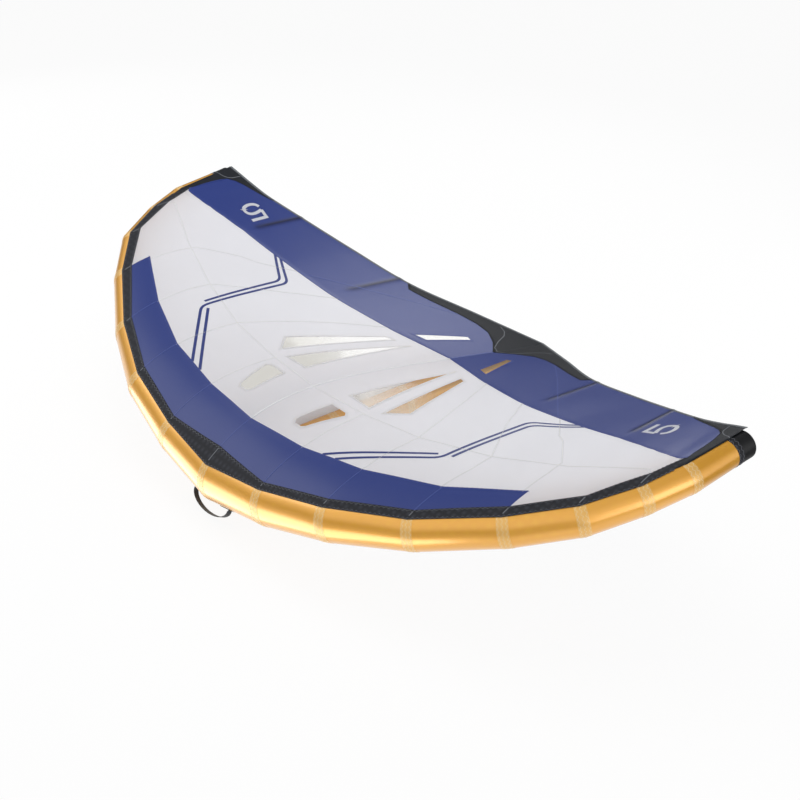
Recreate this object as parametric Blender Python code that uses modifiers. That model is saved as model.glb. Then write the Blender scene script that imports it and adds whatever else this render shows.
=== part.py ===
"""Wingfoil wing of five square metres: an inflated leading edge and strut under a panelled canopy
with film windows, battens, two rigid strut handles, a webbing handle on the nose and two valves.

Metres, +Z up. The nose points to -Y, the trailing edge to +Y and the right-hand tip to +X. The shape
is drawn in the wing's own frame, whose zero is the nose end of the joining line between canopy and
leading edge; the empty wing_frame moves that to the origin, the middle of the front hand grip.
"""

import math

import bmesh
import bpy
from mathutils import Matrix, Vector

# Planform and camber of the canopy, measured from the nose end of the joining line
HALF_WIDTH = 1.612
ROOT_LENGTH = 2.020
TIP_RISE = 0.543
CAMBER_HEIGHT = 0.352
CAMBER_RUN_SHARE = 0.179
CAMBER_REAR_POWER = 1.13
CAMBER_TIP_POWER = 2.85
CAMBER_END_STATION = 9.3

# Leading edge tube: radius out to the joining line at the nose, at the middle station and at the tip
TUBE_ROOT_RADIUS = 0.1207
TUBE_MID_RADIUS = 0.0784
TUBE_TIP_RADIUS = 0.0582
TUBE_MID_STATION = 3.4
CASE_WALL = 0.0012
BLADDER_WALL = 0.0010
BLADDER_GAP = 0.0015
BLADDER_DOME = 0.030
TIP_CAP_LENGTH = 0.088
TIP_CAP_ROUND = 0.014

# Cloth, seams and the clearances between pieces that lie face to face
CLOTH = 0.0012
SEAM_GAP = 0.0008
CENTRE_GAP = 0.0018
JOIN_GAP = 0.0010
CLEARANCE = 0.0003
WELD = 0.00002
HEM_WIDTH = 0.009
OVERRUN = 0.05

# Strut under the centre line: its radius at the nose end, under the hands, further back and at the tail
STRUT_NOSE_RADIUS = 0.100
STRUT_HAND_RADIUS = 0.092
STRUT_REAR_RADIUS = 0.062
STRUT_TAIL_RADIUS = 0.044
STRUT_DROP = 0.087

# Battens in their pockets under the rear of the canopy
BATTEN_WIDTH = 0.012
BATTEN_THICKNESS = 0.0020
POCKET_WALL = 0.0012
POCKET_WIDTH = 0.026
POCKET_GAP = 0.0008

# Rigid handles under the strut
BAR_RADIUS = 0.0125
BAR_WALL = 0.0025
SLEEVE_THICKNESS = 0.0035
SLEEVE_CHAMFER = 0.0012
FRONT_GRIP_START = 0.560
FRONT_GRIP_LENGTH = 0.250
FRONT_GRIP_DROP = 0.238
REAR_GRIP_START = 1.040
REAR_GRIP_LENGTH = 0.340
REAR_GRIP_DROP = 0.206
BRACKET_LENGTH = 0.052
BRACKET_WIDTH = 0.044
BRACKET_COVER = 0.0065
SOCKET_DEPTH = 0.034
SADDLE_RISE = 0.016

# Webbing handle on the nose and leash loop under the strut
HANDLE_REACH = 0.115
HANDLE_HEIGHT = 0.068
HANDLE_WEBBING_WIDTH = 0.025
HANDLE_WEBBING_THICKNESS = 0.003
HANDLE_BELOW_LEVEL_DEG = 65.0
PATCH_LENGTH = 0.075
PATCH_WIDTH = 0.050
PATCH_THICKNESS = 0.0020
FOOT_GAP = 0.0004
LEASH_REACH = 0.024
LEASH_HEIGHT = 0.036
LEASH_WEBBING_WIDTH = 0.016
LEASH_WEBBING_THICKNESS = 0.0022
LEASH_PLACE = 0.455

# Valves, drawn with their axis along their own +Z, which points out of the case
VALVE_BORE = 0.0135
VALVE_NECK = 0.0180
VALVE_HEIGHT = 0.0140
VALVE_COLLAR = 0.0260
VALVE_COLLAR_THICKNESS = 0.0030
VALVE_FLANGE = 0.0250
VALVE_FLANGE_THICKNESS = 0.0015
VALVE_FLANGE_DROP = 0.0096
VALVE_SEAT = 0.0115
VALVE_SHELF_DROP = 0.0030
INSERT_WALL = 0.0026
INSERT_RECESS = 0.0045
SPOKE_WIDTH = 0.0030
SPOKE_DEPTH = 0.0020
HUB_RADIUS = 0.0036
STEM_RADIUS = 0.0011
STEM_HEAD_RADIUS = 0.0024
STEM_HEAD_HEIGHT = 0.0014
FLAP_THICKNESS = 0.0008
CAP_RADIUS = 0.0190
CAP_THICKNESS = 0.0032
CAP_PLUG_DEPTH = 0.0030
CAP_PLUG_RADIUS = 0.0125
CAP_PLUG_WALL = 0.0022
CAP_TAB_REACH = 0.0250
CAP_TAB_WIDTH = 0.0100
KNUCKLE_RADIUS = 0.0026
KNUCKLE_LENGTH = 0.0084
HINGE_REACH = 0.0255
HINGE_PIN_RADIUS = 0.0010
EAR_THICKNESS = 0.0030
NOSE_VALVE_SHARE = 0.66
NOSE_VALVE_BELOW_LEVEL_DEG = 40.0
STRUT_VALVE_PLACE = 0.370
STRUT_VALVE_BELOW_LEVEL_DEG = 30.0

# Stations count the seams of the leading edge tube, from 0 at the nose to 8 at the tip. Each row gives
# the joining line, then the trailing edge, as shares of half width, root length and tip rise.
TIP_STATION = 8
JOIN_SHARES = ((0, 0, 0), (.194, .014, .068), (.391, .040, .203), (.590, .105, .341), (.770, .190, .536),
               (.891, .273, .702), (.953, .372, .818), (.988, .463, .906), (.997, .574, .972))
EDGE_SHARES = ((0, 1, 0), (.192, .905, .168), (.378, .813, .330), (.577, .750, .516), (.744, .693, .696),
               (.850, .653, .823), (.918, .637, .902), (.968, .625, .968), (1, .618, 1.007))
TUBE_LEANS_DEG = (43, 37, 31, 25, 18, 9, 2, -4, -6)
NORMAL_STEP_SHARE = .002

# Edges between the canopy's panels: rows of station and share of the chord behind the joining line
STRIP_EDGE_SHARES = ((0, .028), (1, .007), (2, .012), (3, .018), (4, .033), (5, .048), (6, .118),
                     (6.7, .235))
BAND_EDGE_SHARES = ((0, .102), (1, .111), (2, .1185), (3, .1255), (4, .1285))
MAIN_FADE_SHARES = ((4, .1285), (6.7, .235))
REAR_EDGE_SHARES = ((0, .673), (1, .687), (2, .702), (3, .693), (4, .662), (5, .567), (6, .352),
                    (6.7, .235))
TAIL_EDGE_SHARES = ((0, .820), (.25, .880), (.5, .925), (.75, .945), (1, .953), (1.5, .961), (2, 1),
                    (4.8, 1), (5.5, .958), (6, .925), (6.7, .830), (8, .720))
BAND_END, TAIL_END, WEDGE_START, TIP_START = 4, 2, 4.8, 6.7
STOPS = (0, .25, .5, .75, 1, 1.5, 2, 2.5, 3, 3.5, 4, 4.4, 4.8, 5, 5.5, 6, 6.35, 6.7, 7, 7.5, 8)
STRIP_STEPS, BAND_STEPS, MAIN_STEPS, FADE_STEPS, REAR_STEPS, TAIL_STEPS, TIP_STEPS = 3, 3, 9, 2, 4, 3, 4

# Windows on each side: corners as shares of half width and root length
WINDOW_SHARES = {
    "window_a": ((.093, .161), (.102, .151), (.127, .151), (.136, .158), (.166, .241), (.155, .250),
                 (.101, .249)),
    "window_b": ((.215, .312), (.259, .351), (.161, .587), (.141, .593)),
    "window_c": ((.095, .305), (.169, .303), (.095, .611)),
    "window_d": ((.111, .679), (.149, .667), (.093, .805), (.075, .802)),
}
REAR_WINDOW = "window_d"
WINDOW_END = 2

# Battens: the station each lies on, and where it begins and ends as a share of the chord
BATTENS = {"inner": (2.15, .784), "outer": (4, .735)}
BATTEN_END_SHARE = .985
BATTEN_STEPS = 4

# Strut: places along the root length, each with its drop as a share of the strut's drop at the nose
STRUT_LINE_SHARES = ((.050, 1), (.150, .98), (.320, .76), (.520, .52), (.720, .41), (.865, .38),
                     (.955, .46), (.972, .48))
STRUT_RADIUS_SHARES = (.15, .52, .865, .955)
STRUT_END_SHARE = .62
BLADDER_END_SHARE = .950

# Handle brackets from the strut down: height, length and width as shares
BRACKET_SHARES = ((0, 1.45, 1.45), (.30, 1.38, 1.30), (.48, 1.05, 1.00), (.68, .96, .92), (.86, 1, 1),
                  (.95, .90, .82), (1, .66, .50))
BRACKET_SQUARENESS = 3.2
BRACKET_SIDES = 20

# Sides of round pieces
TUBE_STEPS, STRUT_STEPS, BLADDER_STEPS, TURN_SIDES, ROD_SIDES, PROFILE_STEPS = 12, 10, 8, 26, 16, 4
STRAP_STEPS, PATCH_ROUND_STEPS, PATCH_RUN_STEPS = 12, 4, 3

X_AXIS, Y_AXIS, Z_AXIS = Vector((1, 0, 0)), Vector((0, 1, 0)), Vector((0, 0, 1))
HOLD_POINT = Vector((0, FRONT_GRIP_START + FRONT_GRIP_LENGTH / 2, -FRONT_GRIP_DROP))
SIDES = ((-1, "left"), (1, "right"))

# Each finish: colour, roughness and metallic value
FINISHES = {
    "gold_case": ((0.78, 0.43, 0.07), 0.32, 0.35),
    "black_cloth": ((0.022, 0.024, 0.028), 0.55, 0.0),
    "white_cloth": ((0.76, 0.76, 0.79), 0.45, 0.0),
    "blue_cloth": ((0.045, 0.070, 0.235), 0.45, 0.0),
    "clear_film": ((0.80, 0.82, 0.84), 0.10, 0.0),
    "bladder_film": ((0.70, 0.72, 0.72), 0.30, 0.0),
    "grey_hem": ((0.36, 0.37, 0.39), 0.60, 0.0),
    "glass_fibre": ((0.55, 0.56, 0.50), 0.40, 0.0),
    "black_webbing": ((0.015, 0.015, 0.017), 0.75, 0.0),
    "carbon_tube": ((0.018, 0.018, 0.020), 0.30, 0.1),
    "foam": ((0.030, 0.030, 0.032), 0.85, 0.0),
    "black_plastic": ((0.020, 0.021, 0.023), 0.40, 0.0),
    "blue_plastic": ((0.030, 0.080, 0.300), 0.38, 0.0),
    "silicone": ((0.62, 0.63, 0.63), 0.50, 0.0),
}


# Scene set-up

def clear_scene():
    for item in list(bpy.data.objects):
        bpy.data.objects.remove(item, do_unlink=True)


def collection(name):
    made = bpy.data.collections.new(name)
    bpy.context.scene.collection.children.link(made)
    return made


def empty(name, parent, place):
    made = bpy.data.objects.new(name, None)
    WING.objects.link(made)
    made.parent = parent
    made.matrix_local = place
    return made


def finish(name):
    if name in bpy.data.materials:
        return bpy.data.materials[name]
    colour, roughness, metallic = FINISHES[name]
    made = bpy.data.materials.new(name)
    made.use_nodes = True
    shader = made.node_tree.nodes["Principled BSDF"]
    shader.inputs["Base Color"].default_value = (*colour, 1)
    shader.inputs["Roughness"].default_value = roughness
    shader.inputs["Metallic"].default_value = metallic
    made.diffuse_color = (*colour, 1)
    return made


def part(name, mesh, look, parent=None):
    made = bpy.data.objects.new(name, mesh)
    WING.objects.link(made)
    made.parent = parent or FRAME
    mesh.materials.clear()
    mesh.materials.append(finish(look))
    mesh.shade_smooth()
    mesh.set_sharp_from_angle(angle=math.radians(30))
    return made


def cutter(name, mesh, parent=None):
    made = bpy.data.objects.new("cut_" + name, mesh)
    CUTTERS.objects.link(made)
    made.parent = parent or FRAME
    made.hide_render = True
    made.display_type = "WIRE"
    return made


def cut(target, tool, operation="DIFFERENCE"):
    step = target.modifiers.new(tool.name, "BOOLEAN")
    step.operation = operation
    step.object = tool


def wall(target, thickness, offset):
    step = target.modifiers.new("wall", "SOLIDIFY")
    step.thickness = thickness
    step.offset = offset


def turn(target):
    """Spins the profile once round Z."""
    step = target.modifiers.new("turn", "SCREW")
    step.angle = 2 * math.pi
    step.steps = step.render_steps = TURN_SIDES
    step.use_merge_vertices = True
    step.merge_threshold = WELD


# Meshes

def mesh_from(name, builder):
    """Runs builder on a new bmesh and returns it as a mesh."""
    work = bmesh.new()
    builder(work)
    mesh = bpy.data.meshes.new(name)
    work.to_mesh(mesh)
    work.free()
    return mesh


def mesh_from_curve(name, points, radii, closed, **settings):
    """A curve of straight runs as a mesh, with its caps welded on."""
    data = bpy.data.curves.new(name, "CURVE")
    data.render_resolution_u = 0
    for key, value in settings.items():
        setattr(data, key, value)
    line = data.splines.new("POLY")
    line.points.add(len(points) - 1)
    for knot, place, radius in zip(line.points, points, radii):
        knot.co = (*place, 1)
        knot.radius = radius
    line.use_cyclic_u = closed
    guide = bpy.data.objects.new(name + "_line", data)
    WING.objects.link(guide)
    graph = bpy.context.evaluated_depsgraph_get()
    mesh = bpy.data.meshes.new_from_object(guide.evaluated_get(graph))
    bpy.data.objects.remove(guide, do_unlink=True)
    work = bmesh.new()
    work.from_mesh(mesh)
    bmesh.ops.remove_doubles(work, verts=work.verts, dist=WELD)
    work.to_mesh(mesh)
    work.free()
    return mesh


def tube_mesh(name, points, radii, steps, caps=True):
    """A round tube through the points, its radius given at each of them."""
    return mesh_from_curve(name, points, radii, False, dimensions="3D", bevel_depth=1,
                           bevel_resolution=steps, use_fill_caps=caps)


def outline_mesh(name, corners, depth):
    """A flat outline in XY, thickened by depth to both sides of its plane."""
    points = [(x, y, 0) for x, y in corners]
    return mesh_from_curve(name, points, [1] * len(points), True, dimensions="2D", fill_mode="BOTH",
                           extrude=depth)


def profile_mesh(name, points, closed=False):
    """A profile in the XZ plane that runs down its outer side."""
    mesh = bpy.data.meshes.new(name)
    count = len(points)
    edges = [(i, (i + 1) % count) for i in range(count if closed else count - 1)]
    mesh.from_pydata([(x, 0, z) for x, z in points], edges, [])
    return mesh


def box_mesh(name, low, high):
    low, high = Vector(low), Vector(high)
    place = Matrix.Translation((low + high) / 2) @ Matrix.Diagonal((*(high - low), 1))
    return mesh_from(name, lambda work: bmesh.ops.create_cube(work, size=1, matrix=place))


def rod_mesh(name, radius, start, end, hole=False):
    """A plain cylinder from start to end; a hole's flats, not its corners, lie at the radius."""
    start, end = Vector(start), Vector(end)
    radius = radius / math.cos(math.pi / ROD_SIDES) if hole else radius
    aim = Z_AXIS.rotation_difference(end - start).to_matrix().to_4x4()
    place = Matrix.Translation((start + end) / 2) @ aim
    return mesh_from(name, lambda work: bmesh.ops.create_cone(
        work, cap_ends=True, segments=ROD_SIDES, radius1=radius, radius2=radius,
        depth=(end - start).length, matrix=place))


def loft_mesh(name, rings):
    """A closed solid through unlike rings of equal count, capped at both ends."""
    def build(work):
        rows = [[work.verts.new(point) for point in ring] for ring in rings]
        count = len(rows[0])
        for near, far in zip(rows, rows[1:]):
            for i in range(count):
                j = (i + 1) % count
                work.faces.new((near[i], near[j], far[j], far[i]))
        work.faces.new(rows[0])
        work.faces.new(rows[-1])
        bmesh.ops.recalc_face_normals(work, faces=work.faces)
    return mesh_from(name, build)


def ribbon_mesh(name, centres, across, up, half_widths, height):
    """A strip of rectangular section: its lower face follows the centres."""
    rings = []
    for centre, side, rise, half in zip(centres, across, up, half_widths):
        low = [centre - side * half, centre + side * half]
        rings.append([*low, *[point + rise * height for point in reversed(low)]])
    return loft_mesh(name, rings)


# The canopy as a surface over station and share of the chord

def sized(row):
    return Vector((row[0] * HALF_WIDTH, row[1] * ROOT_LENGTH, row[2] * TIP_RISE))


def read(rows, station):
    """The value of rows of station and value, straight between rows."""
    for (near, low), (far, high) in zip(rows, rows[1:]):
        if station <= far:
            return low + (high - low) * max(station - near, 0) / (far - near)
    return rows[-1][1]


def join_point(station):
    """The joining line runs straight from one tube seam to the next."""
    seam = min(int(station), TIP_STATION - 1)
    return sized(JOIN_SHARES[seam]).lerp(sized(JOIN_SHARES[seam + 1]), station - seam)


def edge_point(station):
    """The trailing edge is one smooth curve from the tail to the tip."""
    seam = min(int(station), TIP_STATION - 1)
    t = station - seam
    before = sized(EDGE_SHARES[max(seam - 1, 0)])
    near, far = sized(EDGE_SHARES[seam]), sized(EDGE_SHARES[seam + 1])
    after = sized(EDGE_SHARES[min(seam + 2, TIP_STATION)])
    leave = far - near if seam == 0 else (far - before) / 2
    arrive = (after - near) / 2
    return (near * (2 * t ** 3 - 3 * t ** 2 + 1) + leave * (t ** 3 - 2 * t ** 2 + t)
            + far * (3 * t ** 2 - 2 * t ** 3) + arrive * (t ** 3 - t ** 2))


def canopy_point(station, share):
    """Underside of the canopy on the right-hand side; past the trailing edge it runs on straight."""
    rise = 1 - math.exp(-share / CAMBER_RUN_SHARE)
    rear = max(1 - share, 0) ** CAMBER_REAR_POWER
    fade = (1 - station / CAMBER_END_STATION) ** CAMBER_TIP_POWER
    flat = join_point(station) * (1 - share) + edge_point(station) * share
    return flat + Z_AXIS * CAMBER_HEIGHT * rise * rear * fade


def chord(station):
    return (edge_point(station) - join_point(station)).length


def mirrored(point, side):
    return Vector((point.x * side, point.y, point.z))


# Canopy panels

def step_gap(station):
    """The seam gap as a step between stations at the trailing edge, where stations lie closest."""
    seam = min(int(station), TIP_STATION - 1)
    return SEAM_GAP / (edge_point(seam + 1) - edge_point(seam)).length


def column_shares(station, bands):
    """Shares of a column's points. A band is its front and rear edge rows and its count of steps."""
    gap = SEAM_GAP / 2 / chord(station)
    edges = [read(bands[0][0], station)] + [read(rear, station) for _, rear, _ in bands]
    if edges[-1] - edges[0] < 4 * gap:
        return [(edges[0] + edges[-1]) / 2]
    edges[0] += gap if edges[0] > 0 else 0
    edges[-1] -= gap
    shares = [edges[0]]
    for low, high, (_, _, count) in zip(edges, edges[1:], bands):
        shares += [low + (high - low) * i / count for i in range(1, count + 1)]
    return shares


def panel_mesh(name, side, blocks):
    """An open sheet of blocks, each a first and last station and its bands. Columns of unlike count
    are joined along their rear points, and a column of one point closes the sheet."""
    columns = []
    for first, last, bands in blocks:
        for station in [s for s in STOPS if first <= s <= last]:
            inset_start = station == first and station > 0 and (columns or station == TIP_START)
            place = station + step_gap(station) if inset_start else station
            points = [canopy_point(place, share) for share in column_shares(place, bands)]
            shift = X_AXIS * CENTRE_GAP / 2 if station == 0 else Vector()
            columns.append([mirrored(point + shift, side) for point in points])

    def build(work):
        rows = [[work.verts.new(point) for point in column] for column in columns]
        for near, far in zip(rows, rows[1:]):
            count = max(min(len(near), len(far)), 2) if 1 not in (len(near), len(far)) else 0
            if count:
                pairs = zip(near[-count:], far[-count:], far[1 - count:], near[1 - count:])
            else:
                many, one = (near, far) if len(far) == 1 else (far, near)
                pairs = ((a, b, one[0]) for a, b in zip(many, many[1:]))
                if len(far) > 1:
                    pairs = (tuple(reversed(corners)) for corners in pairs)
                pairs = (tuple(reversed(corners)) for corners in pairs)
            for corners in pairs:
                work.faces.new(corners if side > 0 else tuple(reversed(corners)))
    return mesh_from(name, build)


def cloth_panel(name, side, blocks, look, thickness=CLOTH):
    made = part(name, panel_mesh(name, side, blocks), look)
    wall(made, thickness, 1)
    return made


ZERO_SHARES, ONE_SHARES = ((0, 0), (TIP_STATION, 0)), ((0, 1), (TIP_STATION, 1))
MAIN_BANDS = [(BAND_EDGE_SHARES, REAR_EDGE_SHARES, MAIN_STEPS)]
OUTER_BANDS = [(STRIP_EDGE_SHARES, MAIN_FADE_SHARES, FADE_STEPS),
               (MAIN_FADE_SHARES, REAR_EDGE_SHARES, MAIN_STEPS)]
REAR_BANDS = [(REAR_EDGE_SHARES, TAIL_EDGE_SHARES, REAR_STEPS)]
TAIL_BANDS = [(TAIL_EDGE_SHARES, ONE_SHARES, TAIL_STEPS)]
TIP_BANDS = [(ZERO_SHARES, TAIL_EDGE_SHARES, TIP_STEPS), (TAIL_EDGE_SHARES, ONE_SHARES, TAIL_STEPS)]


def inset(corners, distance):
    """The outline drawn in by distance, its corners running anticlockwise."""
    moved = []
    for i, corner in enumerate(corners):
        here = Vector(corner)
        back = (here - Vector(corners[i - 1])).normalized()
        ahead = (Vector(corners[(i + 1) % len(corners)]) - here).normalized()
        inward = Vector((-back.y - ahead.y, back.x + ahead.x)).normalized()
        moved.append(here + inward * distance / inward.dot(Vector((-back.y, back.x))))
    return moved


def window_tool(name, side, word, distance):
    """An upright prism through the canopy along the window's outline, drawn in by distance."""
    corners = [(x * HALF_WIDTH * side, y * ROOT_LENGTH) for x, y in WINDOW_SHARES[name]]
    if side < 0:
        corners.reverse()
    kind = "film" if distance else "hole"
    mesh = outline_mesh(name, inset(corners, distance), TIP_RISE)
    return cutter(f"{name}_{word}_{kind}", mesh)


def windows(side, word, main, rear):
    """Film panes, each flush in the hole of the panel it is sewn into."""
    for name in WINDOW_SHARES:
        carrier, bands = (rear, REAR_BANDS) if name == REAR_WINDOW else (main, MAIN_BANDS)
        cut(carrier, window_tool(name, side, word, 0))
        pane = cloth_panel(f"{name}_{word}", side, [(0, WINDOW_END, bands)], "clear_film")
        cut(pane, window_tool(name, side, word, SEAM_GAP / 2), "INTERSECT")


def hem(side, word):
    """A folded tape along the trailing edge, just behind the cloth."""
    rings = []
    for station in STOPS:
        reaches = (SEAM_GAP / 2, HEM_WIDTH)
        low, high = (canopy_point(station, 1 + reach / chord(station)) for reach in reaches)
        shift = X_AXIS * CENTRE_GAP if station == 0 else Vector()
        lower = [mirrored(point + shift, side) for point in (low, high)]
        rings.append([*lower, *[point + Z_AXIS * 2 * CLOTH for point in reversed(lower)]])
    part("trailing_edge_hem_" + word, loft_mesh("hem", rings), "grey_hem")


def canopy_side(side, word):
    strip = [(ZERO_SHARES, STRIP_EDGE_SHARES, STRIP_STEPS)]
    cloth_panel("joining_strip_" + word, side, [(0, TIP_START, strip)], "black_cloth")
    band = [(STRIP_EDGE_SHARES, BAND_EDGE_SHARES, BAND_STEPS)]
    cloth_panel("front_band_" + word, side, [(0, BAND_END, band)], "blue_cloth")
    blocks = [(0, BAND_END, MAIN_BANDS), (BAND_END, TIP_START, OUTER_BANDS)]
    main = cloth_panel("main_panel_" + word, side, blocks, "white_cloth")
    rear = cloth_panel("rear_band_" + word, side, [(0, TIP_START, REAR_BANDS)], "blue_cloth")
    windows(side, word, main, rear)
    cloth_panel("tail_patch_" + word, side, [(0, TAIL_END, TAIL_BANDS)], "black_cloth")
    blocks = [(WEDGE_START, TIP_START, TAIL_BANDS), (TIP_START, TIP_STATION, TIP_BANDS)]
    cloth_panel("tip_patch_" + word, side, blocks, "black_cloth")
    hem(side, word)


# Battens

def batten(kind, side, word):
    """A flat batten in its pocket, which is open at the trailing edge."""
    station, start = BATTENS[kind]
    depth = BATTEN_THICKNESS + 2 * CLEARANCE + 2 * POCKET_WALL
    pocket_drop = POCKET_GAP + depth
    bore_drop = pocket_drop - POCKET_WALL
    name = f"batten_pocket_{kind}_{word}"
    pocket = part(name, batten_strip(station, start, side, pocket_drop, 0, CLEARANCE, POCKET_WIDTH, depth),
                  "black_cloth")
    bore = batten_strip(station, start, side, bore_drop, POCKET_WALL, OVERRUN,
                        BATTEN_WIDTH + 2 * CLEARANCE, BATTEN_THICKNESS + 2 * CLEARANCE)
    cut(pocket, cutter(name, bore))
    part(f"batten_{kind}_{word}", batten_strip(station, start, side, bore_drop - CLEARANCE,
                                               POCKET_WALL + CLEARANCE, CLEARANCE, BATTEN_WIDTH,
                                               BATTEN_THICKNESS), "glass_fibre")


def batten_strip(station, start, side, drop, lead, tail, width, height):
    """A strip under the canopy along its station, its lower face drop below the cloth. It begins
    lead behind the pocket's front and runs tail past its rear."""
    centres, across, up = [], [], []
    for i in range(BATTEN_STEPS + 1):
        share = start + (BATTEN_END_SHARE - start) * i / BATTEN_STEPS
        here = canopy_point(station, share)
        along = canopy_point(station, share + NORMAL_STEP_SHARE) - here
        outboard = canopy_point(station + NORMAL_STEP_SHARE, share)
        wide = outboard - canopy_point(station - NORMAL_STEP_SHARE, share)
        rise = mirrored(wide.cross(along).normalized(), side)
        run = mirrored(along.normalized(), side)
        centres.append(mirrored(here, side) - rise * drop + run * (lead if i == 0 else 0))
        across.append(run.cross(rise))
        up.append(rise)
    centres.append(centres[-1] + run * tail)
    across.append(across[-1])
    up.append(up[-1])
    return ribbon_mesh("strip", centres, across, up, [width / 2] * len(centres), height)


# Leading edge tube

def tube_radius(station):
    return read(((0, TUBE_ROOT_RADIUS), (TUBE_MID_STATION, TUBE_MID_RADIUS),
                 (TIP_STATION, TUBE_TIP_RADIUS)), station)


def tube_seam(seam):
    """Centre of the tube at a seam: the joining line lies ahead of the tube's top by the seam's lean."""
    before = join_point(seam) - join_point(seam - 1) if seam else mirrored(join_point(1), -1) * -1
    after = join_point(seam + 1) - join_point(seam) if seam < TIP_STATION else before
    along = (before.normalized() + after.normalized()).normalized()
    ahead = along.cross(Z_AXIS).normalized()
    lean = math.radians(TUBE_LEANS_DEG[seam])
    top = ahead.cross(along)
    return join_point(seam) - (ahead * math.sin(lean) + top * math.cos(lean)) * tube_radius(seam)


def tube_axis(station):
    """Centre of the tube between seams, and its direction there."""
    seam = min(int(station), TIP_STATION - 1)
    near, far = tube_seam(seam), tube_seam(seam + 1)
    return near.lerp(far, station - seam), (far - near).normalized()


def tube_line():
    seams = range(TIP_STATION + 1)
    left = [mirrored(tube_seam(seam), -1) for seam in reversed(seams[1:])]
    return left + [tube_seam(seam) for seam in seams], [tube_radius(abs(k)) for k in
                                                        range(-TIP_STATION, TIP_STATION + 1)]


def domed(points, radii, dome, rings=3):
    """The line with a rounded end added at both ends, dome long."""
    for _ in range(2):
        tip, run, radius = points[-1], (points[-1] - points[-2]).normalized(), radii[-1]
        for i in range(1, rings + 1):
            angle = math.pi / 2 * i / (rings + 1 / 2)
            points = [*points, tip + run * dome * math.sin(angle)]
            radii = [*radii, radius * math.cos(angle)]
        points, radii = points[::-1], radii[::-1]
    return points, radii


def leading_edge():
    points, radii = tube_line()
    case = part("leading_edge_case", tube_mesh("case", points, [r - JOIN_GAP for r in radii], TUBE_STEPS,
                                               False), "gold_case")
    wall(case, CASE_WALL, -1)
    fat = [r - JOIN_GAP + CLEARANCE for r in radii]
    tool = cutter("leading_edge", tube_mesh("fat_case", points, fat, TUBE_STEPS))
    slim = [r - JOIN_GAP - CASE_WALL - BLADDER_GAP for r in radii]
    bladder_points, bladder_radii = domed(points, slim, BLADDER_DOME)
    bladder = part("leading_edge_bladder", tube_mesh("bladder", bladder_points, bladder_radii,
                                                     BLADDER_STEPS), "bladder_film")
    wall(bladder, BLADDER_WALL, -1)
    for side, word in SIDES:
        tip_cap(side, word)
    return case, bladder, tool


def tip_cap(side, word):
    """A cup that closes the end of the case, its rim face to face with the case's end."""
    radius, length, turn_in = TUBE_TIP_RADIUS - JOIN_GAP, TIP_CAP_LENGTH, TIP_CAP_ROUND
    profile = [(0, length)]
    inner = [(0, length - CASE_WALL)]
    for i in range(PROFILE_STEPS + 1):
        angle = math.pi / 2 * i / PROFILE_STEPS
        out, rise = math.sin(angle), math.cos(angle)
        profile.append((radius - turn_in * (1 - out), length - turn_in * (1 - rise)))
        slim = turn_in - CASE_WALL
        inner.append((radius - turn_in + slim * out, length - turn_in + slim * rise))
    profile += [(radius, CLEARANCE), (radius - CASE_WALL, CLEARANCE), *reversed(inner)]
    made = part("tip_cap_" + word, profile_mesh("tip_cap", profile), "black_plastic")
    turn(made)
    place, run = tube_axis(TIP_STATION)
    aim = Z_AXIS.rotation_difference(mirrored(run, side)).to_matrix().to_4x4()
    made.matrix_local = Matrix.Translation(mirrored(place, side)) @ aim


# Strut

def strut_radius(y):
    radii = (STRUT_NOSE_RADIUS, STRUT_HAND_RADIUS, STRUT_REAR_RADIUS, STRUT_TAIL_RADIUS)
    end = (STRUT_LINE_SHARES[-1][0], STRUT_TAIL_RADIUS * STRUT_END_SHARE)
    return read([*zip(STRUT_RADIUS_SHARES, radii), end], y / ROOT_LENGTH)


def strut_point(y):
    return Vector((0, y, -STRUT_DROP * read(STRUT_LINE_SHARES, y / ROOT_LENGTH)))


def strut_run(y):
    """Direction of the strut's axis at y."""
    return (strut_point(y + OVERRUN) - strut_point(y - OVERRUN)).normalized()


def strut(edge_tool):
    places = [share * ROOT_LENGTH for share, _ in STRUT_LINE_SHARES]
    points = [strut_point(y) for y in places]
    case = part("strut_case", tube_mesh("strut", points, [strut_radius(y) for y in places], STRUT_STEPS),
                "gold_case")
    wall(case, CASE_WALL, -1)
    cut(case, edge_tool)
    fat = [strut_radius(y) + CLEARANCE for y in places]
    tool = cutter("strut", tube_mesh("fat_strut", points, fat, STRUT_STEPS))

    start = tube_seam(0).y + TUBE_ROOT_RADIUS + BLADDER_DOME + CLEARANCE
    inner = [start, *[y for y in places if start < y < BLADDER_END_SHARE * ROOT_LENGTH - BLADDER_DOME]]
    inner.append(BLADDER_END_SHARE * ROOT_LENGTH - BLADDER_DOME)
    slim = [strut_radius(y) - CASE_WALL - BLADDER_GAP for y in inner]
    line, radii = domed([strut_point(y) for y in inner], slim, BLADDER_DOME)
    bladder = part("strut_bladder", tube_mesh("strut_bladder", line, radii, BLADDER_STEPS), "bladder_film")
    wall(bladder, BLADDER_WALL, -1)
    return case, bladder, tool


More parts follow.
